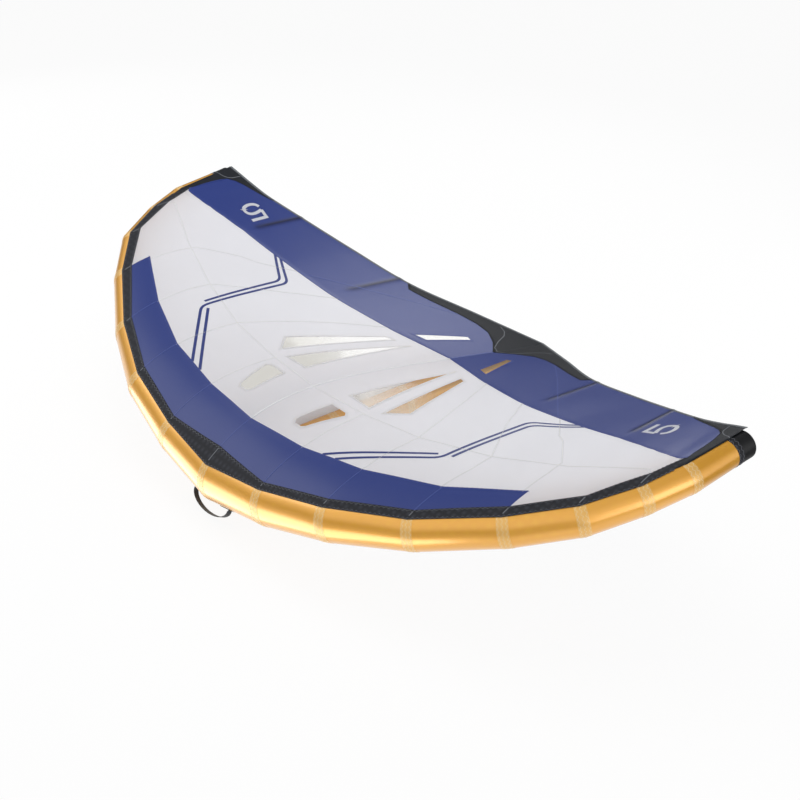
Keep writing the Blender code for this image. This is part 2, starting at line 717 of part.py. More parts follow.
def web(edge_tool):
    """The upright sheet between the strut and the canopy, drawn in YZ and stood on edge."""
    bands = [(STRIP_EDGE_SHARES, BAND_EDGE_SHARES, BAND_STEPS), *MAIN_BANDS, *REAR_BANDS]
    shares = column_shares(0, bands) + [column_shares(0, TAIL_BANDS)[1]]
    upper = [canopy_point(0, share) - Z_AXIS * CLEARANCE for share in shares]
    rear = upper[-1].y
    places = [y for y in (share * ROOT_LENGTH for share, _ in STRUT_LINE_SHARES) if y < rear]
    lower = [strut_point(y) + Z_AXIS * (strut_radius(y) + CLEARANCE) for y in (*places, rear)]
    nose = tube_seam(0)
    corners = [(point.y, point.z) for point in (nose, *lower, *reversed(upper))]
    made = part("strut_web", outline_mesh("web", corners, CLOTH / 2), "white_cloth")
    stand = Matrix((Y_AXIS, Z_AXIS, X_AXIS)).transposed()
    made.matrix_local = stand.to_4x4()
    cut(made, edge_tool)


# Rigid handles

def pipe(name, look, outer, inner, start, end, drop, chamfer=0):
    """A tube along Y, drawn round Z and laid down."""
    half = (end - start) / 2
    profile = [(outer - chamfer, half), (outer, half - chamfer), (outer, chamfer - half),
               (outer - chamfer, -half), (inner, -half), (inner, half)]
    if not chamfer:
        profile = [profile[i] for i in (1, 2, 4, 5)]
    made = part(name, profile_mesh(name, profile, True), look)
    turn(made)
    lay = Matrix.Rotation(-math.pi / 2, 4, "X")
    made.matrix_local = Matrix.Translation((0, (start + end) / 2, -drop)) @ lay


def bracket(name, face, outward, drop, strut_tool):
    """A cast bracket: a saddle under the strut, a waist, and a socket that takes the bar's end."""
    top = strut_point(face).z - strut_radius(face) + SADDLE_RISE
    base = -drop - BAR_RADIUS - BRACKET_COVER
    rings = []
    for height, length, width in BRACKET_SHARES:
        z = top + (base - top) * height
        a, b = width * BRACKET_WIDTH / 2, length * BRACKET_LENGTH / 2
        ring = []
        for i in range(BRACKET_SIDES):
            angle = 2 * math.pi * (i + 1 / 2) / BRACKET_SIDES
            c, s = math.cos(angle), math.sin(angle)
            power = 2 / BRACKET_SQUARENESS
            x, y = math.copysign(abs(c) ** power, c) * a, math.copysign(abs(s) ** power, s) * b
            ring.append((x, face + outward * b + y, z))
        rings.append(ring)
    made = part(name, loft_mesh(name, rings), "black_plastic")
    cut(made, strut_tool)
    inside, outside = face + outward * SOCKET_DEPTH, face - outward * OVERRUN
    mesh = rod_mesh(name, BAR_RADIUS + CLEARANCE, (0, inside, -drop), (0, outside, -drop), True)
    cut(made, cutter(name, mesh))


def strut_handle(word, start, length, drop, strut_tool):
    end = start + length
    reach = SOCKET_DEPTH - CLEARANCE
    pipe(word + "_handle_bar", "carbon_tube", BAR_RADIUS, BAR_RADIUS - BAR_WALL, start - reach, end + reach,
         drop)
    bore = BAR_RADIUS + CLEARANCE
    pipe(word + "_handle_sleeve", "foam", bore + SLEEVE_THICKNESS, bore, start + CLEARANCE, end - CLEARANCE,
         drop, SLEEVE_CHAMFER)
    bracket(word + "_handle_fore_bracket", start, -1, drop, strut_tool)
    bracket(word + "_handle_aft_bracket", end, 1, drop, strut_tool)


# Webbing loops

def strap_loop(name, reach, height, width, thickness, parent):
    """An arched strap in its own XZ plane. Its round feet are centred on the hinge line z = 0."""
    foot = width / 2
    route = []
    for i in range(PROFILE_STEPS):
        angle = math.pi / 2 * (i + 1 / 2) / PROFILE_STEPS
        route.append((reach, -foot * math.cos(angle), foot * math.sin(angle), X_AXIS))
    for i in range(STRAP_STEPS + 1):
        angle = math.pi / 2 * i / STRAP_STEPS
        rise = height - foot
        face = Vector((rise * math.cos(angle), 0, reach * math.sin(angle))).normalized()
        route.append((reach * math.cos(angle), rise * math.sin(angle), foot, face))
    far = [(-x, z, half, Vector((-face.x, 0, face.z))) for x, z, half, face in reversed(route[:-1])]
    route += far
    centres = [Vector((x, 0, z)) - face * thickness / 2 for x, z, _, face in route]
    across = [Y_AXIS] * len(route)
    part(name, ribbon_mesh(name, centres, across, [row[3] for row in route], [row[2] for row in route],
                           thickness), "black_webbing", parent)


def nose_handle():
    """The carrying loop in front of the nose seam, on two patches sewn to the case."""
    angle = math.radians(HANDLE_BELOW_LEVEL_DEG)
    aim = Vector((0, -math.cos(angle), -math.sin(angle)))
    run = tube_axis(0)[1]
    out = (aim - run * aim.dot(run)).normalized()
    station = (HANDLE_REACH - tube_radius(0) * out.x) / tube_seam(1).x
    stand = tube_radius(station) - JOIN_GAP + 2 * CLEARANCE + PATCH_THICKNESS
    foot = tube_axis(station)[0] + out * stand
    hinge = Vector((0, foot.y, foot.z)) + aim * (HANDLE_WEBBING_WIDTH / 2 + FOOT_GAP)
    frame = Matrix((X_AXIS, aim.cross(X_AXIS), aim)).transposed().to_4x4()
    seat = empty("nose_handle_hinge", FRAME, Matrix.Translation(hinge) @ frame)
    strap_loop("leading_edge_handle", foot.x, HANDLE_HEIGHT, HANDLE_WEBBING_WIDTH,
               HANDLE_WEBBING_THICKNESS, seat)
    for side, word in SIDES:
        part_mesh = patch_mesh(side, station, out)
        wall(part("handle_anchor_" + word, part_mesh, "black_webbing"), PATCH_THICKNESS, 1)


def patch_mesh(side, station, out):
    """A sheet that lies on the case round the handle's foot."""
    def build(work):
        rows = []
        for i in range(PATCH_RUN_STEPS + 1):
            place = station + (i / PATCH_RUN_STEPS - 1 / 2) * PATCH_LENGTH / tube_seam(1).x
            centre, run = tube_axis(place)
            radius = tube_radius(place) - JOIN_GAP + CLEARANCE
            round_case = out.cross(run)
            row = []
            for j in range(PATCH_ROUND_STEPS + 1):
                angle = (j / PATCH_ROUND_STEPS - 1 / 2) * PATCH_WIDTH / radius
                point = centre + (out * math.cos(angle) + round_case * math.sin(angle)) * radius
                row.append(work.verts.new(mirrored(point, side)))
            rows.append(row)
        for near, far in zip(rows, rows[1:]):
            for j in range(PATCH_ROUND_STEPS):
                corners = (near[j], far[j], far[j + 1], near[j + 1])
                work.faces.new(corners if side > 0 else tuple(reversed(corners)))
    return mesh_from("handle_anchor", build)


def leash_loop():
    centre, run = strut_point(LEASH_PLACE), strut_run(LEASH_PLACE)
    down = run.cross(X_AXIS).normalized()
    stand = strut_radius(LEASH_PLACE - LEASH_REACH) + FOOT_GAP + LEASH_WEBBING_WIDTH / 2
    frame = Matrix((run, down.cross(run), down)).transposed().to_4x4()
    seat = empty("leash_loop_hinge", FRAME, Matrix.Translation(centre + down * stand) @ frame)
    strap_loop("leash_loop", LEASH_REACH, LEASH_HEIGHT, LEASH_WEBBING_WIDTH, LEASH_WEBBING_THICKNESS, seat)


# Valves

def valve(word, place, case, bladder):
    """An inflation valve whose frame stands on the case with +Z outward."""
    seat = empty(word + "_valve_axis", FRAME, place)
    through = rod_mesh("valve_hole", VALVE_NECK + CLEARANCE, (0, 0, -OVERRUN), (0, 0, OVERRUN), True)
    hole = cutter(word + "_valve_hole", through, seat)
    cut(case, hole)
    cut(bladder, hole)
    hinge_height = VALVE_HEIGHT + CLEARANCE + CAP_THICKNESS / 2
    valve_body(word, seat, hinge_height)
    valve_insert(word, seat)
    valve_flap(word, seat)
    hinge = empty(word + "_valve_cap_hinge", seat, Matrix.Translation((HINGE_REACH, 0, hinge_height)))
    valve_cap(word, hinge, hinge_height)


def valve_body(word, seat, hinge_height):
    """Neck with an outer collar, an inner flange welded to the bladder, and two hinge ears."""
    collar, flange = CLEARANCE + VALVE_COLLAR_THICKNESS, -VALVE_FLANGE_DROP
    base = flange - VALVE_FLANGE_THICKNESS
    profile = [(VALVE_NECK, VALVE_HEIGHT), (VALVE_NECK, collar), (VALVE_COLLAR, collar),
               (VALVE_COLLAR, CLEARANCE), (VALVE_NECK, CLEARANCE), (VALVE_NECK, flange),
               (VALVE_FLANGE, flange), (VALVE_FLANGE, base), (VALVE_SEAT, base),
               (VALVE_SEAT, -VALVE_SHELF_DROP), (VALVE_BORE, -VALVE_SHELF_DROP), (VALVE_BORE, VALVE_HEIGHT)]
    body = part(word + "_valve_body", profile_mesh("valve_body", profile, True), "black_plastic", seat)
    turn(body)
    inner = KNUCKLE_LENGTH / 2 + CLEARANCE
    outer = inner + EAR_THICKNESS
    for side, ear in SIDES:
        low, high = sorted((inner * side, outer * side))
        mesh = box_mesh("ear", (HINGE_REACH - KNUCKLE_RADIUS, low, CLEARANCE * 2),
                        (HINGE_REACH + KNUCKLE_RADIUS, high, hinge_height + KNUCKLE_RADIUS))
        cut(body, cutter(f"{word}_valve_ear_{ear}", mesh, seat), "UNION")
    middle = (inner + outer) / 2
    pin = rod_mesh("pin", HINGE_PIN_RADIUS, (HINGE_REACH, -middle, hinge_height),
                   (HINGE_REACH, middle, hinge_height))
    cut(body, cutter(word + "_valve_pin", pin, seat), "UNION")


def valve_insert(word, seat):
    """Bayonet insert: a ring with three spokes and a hub that holds the flap."""
    outer, inner = VALVE_BORE - CLEARANCE, VALVE_BORE - CLEARANCE - INSERT_WALL
    base, top = CLEARANCE - VALVE_SHELF_DROP, VALVE_HEIGHT - INSERT_RECESS
    profile = [(outer, top), (outer, base), (inner, base), (inner, top)]
    made = part(word + "_valve_insert", profile_mesh("valve_insert", profile, True), "blue_plastic", seat)
    turn(made)
    spokes = 3
    for i in range(spokes):
        mesh = box_mesh("spoke", (0, -SPOKE_WIDTH / 2, base), (inner + INSERT_WALL / 2, SPOKE_WIDTH / 2,
                                                              base + SPOKE_DEPTH))
        tool = cutter(f"{word}_valve_spoke_{i}", mesh, seat)
        tool.matrix_local = Matrix.Rotation(2 * math.pi * i / spokes, 4, "Z")
        cut(made, tool, "UNION")
    hub = rod_mesh("hub", HUB_RADIUS, (0, 0, base), (0, 0, base + SPOKE_DEPTH))
    cut(made, cutter(word + "_valve_hub", hub, seat), "UNION")
    bore = rod_mesh("stem_hole", STEM_RADIUS + CLEARANCE, (0, 0, -OVERRUN), (0, 0, OVERRUN), True)
    cut(made, cutter(word + "_valve_stem_hole", bore, seat))


def valve_flap(word, seat):
    """Silicone flap under the insert, on a stem with a round head."""
    base = -VALVE_SHELF_DROP
    hub_top = base + CLEARANCE + SPOKE_DEPTH + CLEARANCE
    head = hub_top + STEM_HEAD_HEIGHT
    profile = [(0, head), (STEM_HEAD_RADIUS, head), (STEM_HEAD_RADIUS, hub_top), (STEM_RADIUS, hub_top),
               (STEM_RADIUS, base), (VALVE_SEAT - CLEARANCE, base),
               (VALVE_SEAT - CLEARANCE, base - FLAP_THICKNESS), (0, base - FLAP_THICKNESS)]
    turn(part(word + "_valve_flap", profile_mesh("valve_flap", profile), "silicone", seat))


def valve_cap(word, hinge, hinge_height):
    """Cap with a plug ring, a finger tab and a hinge knuckle; its frame stands on the hinge pin."""
    low = VALVE_HEIGHT + CLEARANCE
    top, tip = low + CAP_THICKNESS, low - CAP_PLUG_DEPTH
    plug = CAP_PLUG_RADIUS - CAP_PLUG_WALL
    profile = [(0, top), (CAP_RADIUS, top), (CAP_RADIUS, low), (CAP_PLUG_RADIUS, low),
               (CAP_PLUG_RADIUS, tip), (plug, tip), (plug, low), (0, low)]
    cap = part(word + "_valve_cap", profile_mesh("valve_cap", profile), "blue_plastic", hinge)
    shift = Matrix.Translation((-HINGE_REACH, 0, -hinge_height))
    cap.matrix_local = shift
    turn(cap)
    half = CAP_TAB_WIDTH / 2
    inside = CAP_RADIUS - CAP_THICKNESS
    arm = box_mesh("arm", (inside, -KNUCKLE_LENGTH / 2, low), (HINGE_REACH, KNUCKLE_LENGTH / 2, top))
    tab = box_mesh("tab", (-CAP_TAB_REACH, -half, low), (-inside, half, top))
    knuckle = rod_mesh("knuckle", KNUCKLE_RADIUS, (HINGE_REACH, -KNUCKLE_LENGTH / 2, hinge_height),
                       (HINGE_REACH, KNUCKLE_LENGTH / 2, hinge_height))
    for name, mesh in (("arm", arm), ("tab", tab), ("knuckle", knuckle)):
        tool = cutter(f"{word}_valve_cap_{name}", mesh, hinge)
        tool.matrix_local = shift
        cut(cap, tool, "UNION")
    reach = KNUCKLE_LENGTH / 2 + OVERRUN
    bore = rod_mesh("pin_hole", HINGE_PIN_RADIUS + CLEARANCE, (0, -reach, 0), (0, reach, 0), True)
    cut(cap, cutter(word + "_valve_pin_hole", bore, hinge))


def valve_places():
    """The frame of each valve: centre on the case, +Z outward and +X, the hinge side, round the case."""
    centre, run = tube_axis(NOSE_VALVE_SHARE)
    angle = math.radians(NOSE_VALVE_BELOW_LEVEL_DEG)
    aim = Vector((0, math.cos(angle), -math.sin(angle)))
    radius = tube_radius(NOSE_VALVE_SHARE) - JOIN_GAP
    taper = (tube_radius(1) - tube_radius(0)) / (tube_seam(1) - tube_seam(0)).length
    yield "nose", standing(centre, run, aim, radius, taper)
    angle = math.radians(STRUT_VALVE_BELOW_LEVEL_DEG)
    aim = Vector((-math.cos(angle), 0, -math.sin(angle)))
    place = STRUT_VALVE_PLACE
    taper = (strut_radius(place + VALVE_COLLAR) - strut_radius(place)) / VALVE_COLLAR
    yield "strut", standing(strut_point(place), strut_run(place), aim, strut_radius(place), taper)


def standing(centre, run, aim, radius, taper):
    """A frame on a tube that widens by taper along run, on the side that aim points to."""
    out = (aim - run * aim.dot(run)).normalized()
    normal = (out - run * taper).normalized()
    along = (run + out * taper).normalized()
    turned = Matrix((along.cross(normal), along, normal)).transposed()
    return Matrix.Translation(centre + out * radius) @ turned.to_4x4()


clear_scene()
WING = collection("wingfoil_wing")
CUTTERS = collection("cutters")
FRAME = None
FRAME = empty("wing_frame", None, Matrix.Translation(-HOLD_POINT))
edge_case, edge_bladder, edge_cutter = leading_edge()
strut_case, strut_bladder, strut_cutter = strut(edge_cutter)
web(edge_cutter)
for hand, label in SIDES:
    canopy_side(hand, label)
    for batten_kind in BATTENS:
        batten(batten_kind, hand, label)
strut_handle("front", FRONT_GRIP_START, FRONT_GRIP_LENGTH, FRONT_GRIP_DROP, strut_cutter)
strut_handle("rear", REAR_GRIP_START, REAR_GRIP_LENGTH, REAR_GRIP_DROP, strut_cutter)
nose_handle()
leash_loop()
hosts = {"nose": (edge_case, edge_bladder), "strut": (strut_case, strut_bladder)}
for label, valve_frame in valve_places():
    valve(label, valve_frame, *hosts[label])
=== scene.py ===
"""Looks of a wingfoil wing of five square metres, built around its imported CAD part.

Metres, +Z up. The nose points to -Y, the right-hand tip to +X, and the middle of the front hand
grip is the origin. Sections follow the wing as it is put together.
"""

import math

import bmesh
import bpy
from mathutils import Matrix, Vector, noise


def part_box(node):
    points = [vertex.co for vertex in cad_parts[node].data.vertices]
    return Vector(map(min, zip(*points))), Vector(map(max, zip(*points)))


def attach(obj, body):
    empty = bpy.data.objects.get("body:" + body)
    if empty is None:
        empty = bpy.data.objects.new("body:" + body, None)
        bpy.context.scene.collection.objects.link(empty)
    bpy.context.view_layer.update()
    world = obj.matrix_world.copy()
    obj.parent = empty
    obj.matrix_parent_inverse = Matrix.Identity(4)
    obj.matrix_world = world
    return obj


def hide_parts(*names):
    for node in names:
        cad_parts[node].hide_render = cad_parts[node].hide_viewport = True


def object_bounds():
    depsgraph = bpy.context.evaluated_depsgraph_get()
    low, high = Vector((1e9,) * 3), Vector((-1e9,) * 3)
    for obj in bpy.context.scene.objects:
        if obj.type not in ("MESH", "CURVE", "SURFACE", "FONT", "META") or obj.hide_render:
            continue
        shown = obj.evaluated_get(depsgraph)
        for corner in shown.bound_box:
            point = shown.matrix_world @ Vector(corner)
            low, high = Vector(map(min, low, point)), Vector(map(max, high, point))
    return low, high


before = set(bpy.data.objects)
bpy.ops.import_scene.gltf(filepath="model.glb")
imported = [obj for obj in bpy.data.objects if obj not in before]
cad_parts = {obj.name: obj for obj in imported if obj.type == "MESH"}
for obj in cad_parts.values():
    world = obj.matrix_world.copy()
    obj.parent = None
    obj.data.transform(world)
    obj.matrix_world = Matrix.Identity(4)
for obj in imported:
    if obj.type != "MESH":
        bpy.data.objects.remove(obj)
cad_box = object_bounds()


# Camera
# The photograph looks down on the wing from in front and to its right, turned a little about the
# line of sight. The place and the turn below were solved from the seams of the leading edge.

def placed(name, data):
    """A new object in the scene."""
    made = bpy.data.objects.new(name, data)
    bpy.context.scene.collection.objects.link(made)
    return made


view = bpy.data.cameras.new("photo_view")
view.lens, view.sensor_width, view.clip_end = 58.5, 36, 100
camera = placed("photo_view", view)
image_right, image_down = Vector((.6681, .7385, .0903)), Vector((.4087, -.2629, -.8740))
line_of_sight = Vector((-.6217, .6208, -.4775))
facing = Matrix((image_right, -image_down, -line_of_sight)).transposed()
camera.matrix_world = Matrix.Translation((3.6848, -3.3069, 3.0365)) @ facing.to_4x4()
bpy.context.scene.camera = camera
bpy.context.scene.view_settings.view_transform = "Standard"


# Studio
# A white room: a matt white floor that keeps a soft shadow, even light from all round and eight
# large soft lamps. The background shows as white to the eye, in gloss and through film.

def feed(source, node, key):
    """Gives a node's input, by name or number, a value, a socket or another node's first output."""
    if isinstance(source, bpy.types.Node):
        source = source.outputs[0]
    if isinstance(source, bpy.types.NodeSocket):
        node.id_data.links.new(source, node.inputs[key])
    else:
        node.inputs[key].default_value = source


def add(tree, kind, links=None, **settings):
    """Adds a node with its settings and links. A shader node goes by its kind alone, and the inputs
    1 to 4 of a map range are the ends that it maps from and to."""
    made = tree.nodes.new(kind if "Node" in kind else "ShaderNode" + kind)
    for key, value in settings.items():
        setattr(made, key, value)
    for key, value in (links or {}).items():
        feed(value, made, key)
    return made


def colour(text):
    """An sRGB hex colour as linear red, green, blue and alpha."""
    parts = [int(text[i:i + 2], 16) / 255 for i in (1, 3, 5)]
    return [c / 12.92 if c <= .04045 else ((c + .055) / 1.055) ** 2.4 for c in parts] + [1]


def new_surface(name, base, where="Object", **gloss):
    """A material, its tree, its shader with plain values set, and the place that its patterns read:
    Object coordinates, or the piece's own UV map, cloth."""
    made = bpy.data.materials.new(name)
    made.use_nodes = True
    tree, shader = made.node_tree, made.node_tree.nodes["Principled BSDF"]
    for key, value in {"Base Color": colour(base), **gloss}.items():
        feed(value, shader, key.replace("_", " "))
    if where == "Object":
        return made, tree, shader, add(tree, "TexCoord").outputs[where]
    return made, tree, shader, add(tree, "UVMap", uv_map=where).outputs[0]


WHITE = colour("#FFFFFF")
room = bpy.data.worlds.new("white_room")
room.use_nodes = True
bpy.context.scene.world = room
tree = room.node_tree
ray = add(tree, "LightPath")
seen = add(tree, "Math", {0: ray.outputs["Is Camera Ray"], 1: ray.outputs["Is Transmission Ray"]},
           operation="MAXIMUM")
way = add(tree, "SeparateXYZ", {0: add(tree, "TexCoord").outputs["Generated"]})
front = add(tree, "MapRange", {0: way.outputs["Y"], 1: -.7, 2: .6, 3: 1.0, 4: .12})
horizon = add(tree, "MapRange", {0: way.outputs["Z"], 1: .12, 2: .42, 3: .25, 4: 1.0})
dimmed = add(tree, "Math", {0: front, 1: horizon}, operation="MULTIPLY")
right = add(tree, "MapRange", {0: way.outputs["X"], 1: .45, 2: .8, 3: dimmed, 4: 1.0})
gloss = add(tree, "Mix", {"Factor": ray.outputs["Is Glossy Ray"], 2: .55, 3: right})
strength = add(tree, "Mix", {"Factor": seen, 2: gloss, 3: 1.0})
feed(WHITE, tree.nodes["Background"], "Color")
feed(strength, tree.nodes["Background"], "Strength")

# The floor glows by itself where the eye or gloss sees it, so that it stays white, and less far off.
floor_paint, tree, matt, spot = new_surface("matt_white_floor", "#F4F4F4", Roughness=.9,
                                            Specular_IOR_Level=.1)
ray = add(tree, "LightPath")
near = add(tree, "Mapping", {"Vector": spot, "Scale": (1 / 3.2, 1 / 1.2, 0)})
reach = add(tree, "VectorMath", {0: near}, operation="LENGTH")
side = add(tree, "SeparateXYZ", {0: spot})
least = add(tree, "MapRange", {0: side.outputs["Y"], 1: -1.5, 2: 1.5, 3: .34, 4: .02})
far = add(tree, "MapRange", {0: reach.outputs["Value"], 1: .90, 2: 1.5, 3: 1.0, 4: least})
lit = add(tree, "Mix", {"Factor": ray.outputs["Is Glossy Ray"], 2: 1.0, 3: far})
glow = add(tree, "Emission", {"Color": WHITE, "Strength": lit})
share = 0
for kind, most in (("Camera", .92), ("Glossy", .85), ("Diffuse", .9)):
    part = add(tree, "Math", {0: ray.outputs[f"Is {kind} Ray"], 1: most}, operation="MULTIPLY")
    share = add(tree, "Math", {0: part, 1: share}, operation="MAXIMUM")
mixed = add(tree, "MixShader", {0: share, 1: matt, 2: glow})
feed(mixed, tree.nodes["Material Output"], "Surface")
FLOOR_REACH = 30
ground = cad_box[0][2] - .001
sheet = bpy.data.meshes.new("floor")
sheet.from_pydata([(x * FLOOR_REACH, y * FLOOR_REACH, ground)
                   for x, y in ((-1, -1), (1, -1), (1, 1), (-1, 1))], [], [(0, 1, 2, 3)])
floor = placed("floor", sheet)
sheet.materials.append(floor_paint)

# Each lamp's name, place, aim, size and watts. Only the four in MIRRORED are seen in gloss, and the
# low one in front is seen in gloss alone.
LAMPS = (("overhead", (-.3, .5, 4.5), (0, .2, .2), (3.5, 3.5), 62),
         ("right", (6.5, .3, 1.6), (0, .2, .2), (3, 3), 54),
         ("left", (-6, .8, 1.9), (0, .2, .4), (4, 2), 38),
         ("back_left", (-2.95, 4.8, 3.25), (0, .3, .4), (2.6, 2.5), 47),
         ("over_left", (-2.1, .1, 4.3), (0, -.2, .3), (1.8, 1.8), 24),
         ("front_left", (-3.1, -2.2, 3.2), (0, -.6, .2), (3, 2.4), 30),
         ("back_low", (2.0, 4.5, 1.0), (0, 0, .3), (3, 1.2), 34),
         ("low_front", (0, -.82, -.01), (0, -.70, 1), (2.6, .60), 12))
MIRRORED = ("back_left", "front_left", "right", "low_front")
for name, place, aim, size, power in LAMPS:
    lamp = bpy.data.lights.new(name, "AREA")
    lamp.shape, lamp.size, lamp.size_y, lamp.energy = "RECTANGLE", *size, power
    stand = placed(name, lamp)
    stand.location, stand.rotation_mode = place, "QUATERNION"
    stand.rotation_quaternion = (Vector(aim) - Vector(place)).to_track_quat("-Z", "Y")
    stand.visible_camera, stand.visible_glossy = False, name in MIRRORED
    stand.visible_diffuse = name != "low_front"


# Leading edge case
# The inflated tube that carries the wing: sixteen straight lengths of gold laminated sailcloth,
# sewn end to end, so that it bends only at its seams. It tapers from the nose to both tips.

HALF_WIDTH, ROOT_LENGTH, TIP_RISE = 1.612, 2.020, .543
WING_ZERO = Vector((0, -.685, .238))
TIP = 8


def on_wing(across, back, rise):
    """A point given as shares of half width, root length and tip rise."""
    return WING_ZERO + Vector((across * HALF_WIDTH, back * ROOT_LENGTH, rise * TIP_RISE))


def mirrored(point, side=-1):
    return Vector((point.x * side, point.y, point.z))


def between(rows, place):
    """A value read off rows of place and value, straight between them."""
    for (a, low), (b, high) in zip(rows, rows[1:]):
        if place <= b:
            return low + (high - low) * max(place - a, 0) / (b - a)
    return rows[-1][1]


JOIN = [on_wing(*row) for row in ((0, 0, 0), (.194, .014, .068), (.391, .040, .203), (.590, .105, .341),
                                  (.770, .190, .536), (.891, .273, .702), (.953, .372, .818),
                                  (.988, .463, .906), (.997, .574, .972))]
TUBE_LEANS = (43, 37, 31, 25, 18, 9, 2, -4, -6)
CASE_GAP = .001


def tube_radius(seam):
    """Radius out to the joining line between tube and canopy."""
    return between(((0, .1207), (3.4, .0784), (TIP, .0582)), abs(seam))


def tube_centre(seam):
    """Centre of the tube at a seam: the joining line lies ahead of the tube's top by the seam's lean."""
    k = abs(seam)
    before = JOIN[k] - JOIN[k - 1] if k else Vector((1, 0, 0))
    after = JOIN[k + 1] - JOIN[k] if 0 < k < TIP else before
    if not k:
        before = after = JOIN[1] - mirrored(JOIN[1])
    along = (before.normalized() + after.normalized()).normalized()
    ahead = along.cross(Vector((0, 0, 1))).normalized()
    lean = math.radians(TUBE_LEANS[k])
    drop = (ahead * math.sin(lean) + ahead.cross(along) * math.cos(lean)) * tube_radius(k)
    return mirrored(JOIN[k] - drop, 1 if seam >= 0 else -1)


class Tube:
    """A tube of straight lengths that meet at mitred seams."""

    def __init__(self, centres, radii, inside_puckers=.0012):
        self.centres, self.radii, self.puckers = centres, radii, inside_puckers
        steps = list(zip(centres, centres[1:]))
        self.runs = [(b - a).normalized() for a, b in steps]
        self.lengths = [(b - a).length for a, b in steps]
        up = Vector((0, 0, 1)) - self.runs[0] * self.runs[0].z
        self.ups = [up.normalized()]
        for a, b in zip(self.runs, self.runs[1:]):
            self.ups.append(a.rotation_difference(b) @ self.ups[-1])

    def out(self, length, turn):
        run, up = self.runs[length], self.ups[length]
        return up * math.cos(turn) + run.cross(up) * math.sin(turn)

    def point(self, length, t, turn, lift=0, puckered=True):
        """A point on the tube's length, a share t along it and turned from its top."""
        run, out = self.runs[length], self.out(length, turn)
        lean, dent = 0, 0
        for seam, weight in ((length, 1 - t), (length + 1, t)):
            if 0 < seam < len(self.runs):
                plane = (self.runs[seam - 1] + self.runs[seam]).normalized()
                lean -= weight * out.dot(plane) / run.dot(plane)
                away = (1 - weight) * self.lengths[length]
                dent += .0009 * math.exp(-(away / .022) ** 2)
                bend = self.runs[seam] - self.runs[seam - 1]
                inner = max(out.dot(bend.normalized()), 0) if bend.length > .02 else 0
                dent += self.puckers * inner * math.exp(-away / .045) * (1 + math.cos(turn * 22 + seam))
        radius = self.radii[length] * (1 - t) + self.radii[length + 1] * t + lift
        radius -= dent if puckered else 0
        return self.centres[length].lerp(self.centres[length + 1], t) + (out + run * lean) * radius

    def beside(self, seam, reach, turn, lift):
        """A point off the tube and the way out, reach past a seam, or before it where it is negative."""
        length = seam - 1 if reach < 0 else seam
        t = (reach < 0) + reach / self.lengths[length]
        return self.point(length, t, turn, lift), self.out(length, turn)

    def turn_of(self, length, t, place):
        """The turn from the top at which place lies round the tube."""
        off = place - self.centres[length].lerp(self.centres[length + 1], t)
        run, up = self.runs[length], self.ups[length]
        return math.atan2(off.dot(run.cross(up)), off.dot(up))


def skin(name, rows, marks, round_rows=False, round_columns=False, ends=False):
    """A smooth mesh over a table of points; marks gives the UV of each, one more where it closes."""
    m, n = len(rows), len(rows[0])
    faces, corners = [], []
    for i in range(m if round_rows else m - 1):
        for j in range(n if round_columns else n - 1):
            cell = ((i, j), (i, j + 1), (i + 1, j + 1), (i + 1, j))
            faces.append([(a % m) * n + b % n for a, b in cell])
            corners += [marks[a][b] for a, b in cell]
    if ends:
        faces += [list(range(n)), [(m - 1) * n + j for j in reversed(range(n))]]
        corners += [marks[0][j] for j in range(n)] + [marks[-1][j] for j in reversed(range(n))]
    mesh = bpy.data.meshes.new(name)
    mesh.from_pydata([point for row in rows for point in row], [], faces)
    layer = mesh.uv_layers.new(name="cloth")
    layer.data.foreach_set("uv", [value for corner in corners for value in corner])
    mesh.shade_smooth()
    return mesh


def outward(mesh):
    """Turns a closed mesh's faces outwards and gives it sharp edges past 40 degrees."""
    work = bmesh.new()
    work.from_mesh(mesh)
    bmesh.ops.recalc_face_normals(work, faces=work.faces)
    work.to_mesh(mesh)
    work.free()
    mesh.set_sharp_from_angle(angle=math.radians(40))
    return mesh


def piece(name, mesh, material, nodes=(), body="root"):
    """Puts a finished mesh in the scene, on its body, for the CAD nodes that it stands for."""
    made = placed(name, mesh)
    mesh.materials.clear()
    mesh.materials.append(material)
    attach(made, body)
    if nodes:
        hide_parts(*nodes)
    return made


def finish(shader, tones=(), by=None, height=None, strength=0, depth=0):
    """Colours a surface from one tone to another by a pattern, and stands a pattern out of it."""
    if tones:
        dark, light = [colour(tone) if isinstance(tone, str) else tone for tone in tones]
        tone = add(shader.id_data, "Mix", {"Factor": by, 6: dark, 7: light}, data_type="RGBA")
        feed(tone.outputs[2], shader, "Base Color")
    if height is not None:
        fine = add(shader.id_data, "Bump", {"Height": height, "Strength": strength, "Distance": depth})
        feed(fine, shader, "Normal")


# Gold laminated sailcloth: yarns pressed between films, so it has the satin gleam of foil, a faint
# cross of yarns and no weave to the touch. Real yarns lie 3 to 6 mm apart. A wave texture's bands lie
# 2 pi / 20 m apart over its scale, which draws these 38 mm apart, coarse enough to show.
gold_laminate, tree, shader, spot = new_surface("gold_laminated_sailcloth", "#F0A626", "cloth",
                                                Roughness=.32, Metallic=.40, Coat_Weight=1.0,
                                                Coat_Roughness=.22, Coat_IOR=1.7)
spun = add(tree, "Mapping", {"Vector": spot, "Rotation": (0, 0, math.radians(45))})
yarns = [add(tree, "TexWave", {"Vector": spun, "Scale": 1 / .006 / 20, "Distortion": .4, "Detail": 1.0},
             bands_direction=way, wave_profile="SIN") for way in "XY"]
cross = add(tree, "Math", {k: yarn.outputs["Fac"] for k, yarn in enumerate(yarns)}, operation="MAXIMUM")
cloud = add(tree, "TexNoise", {"Vector": spot, "Scale": 5.0, "Detail": 3.0})
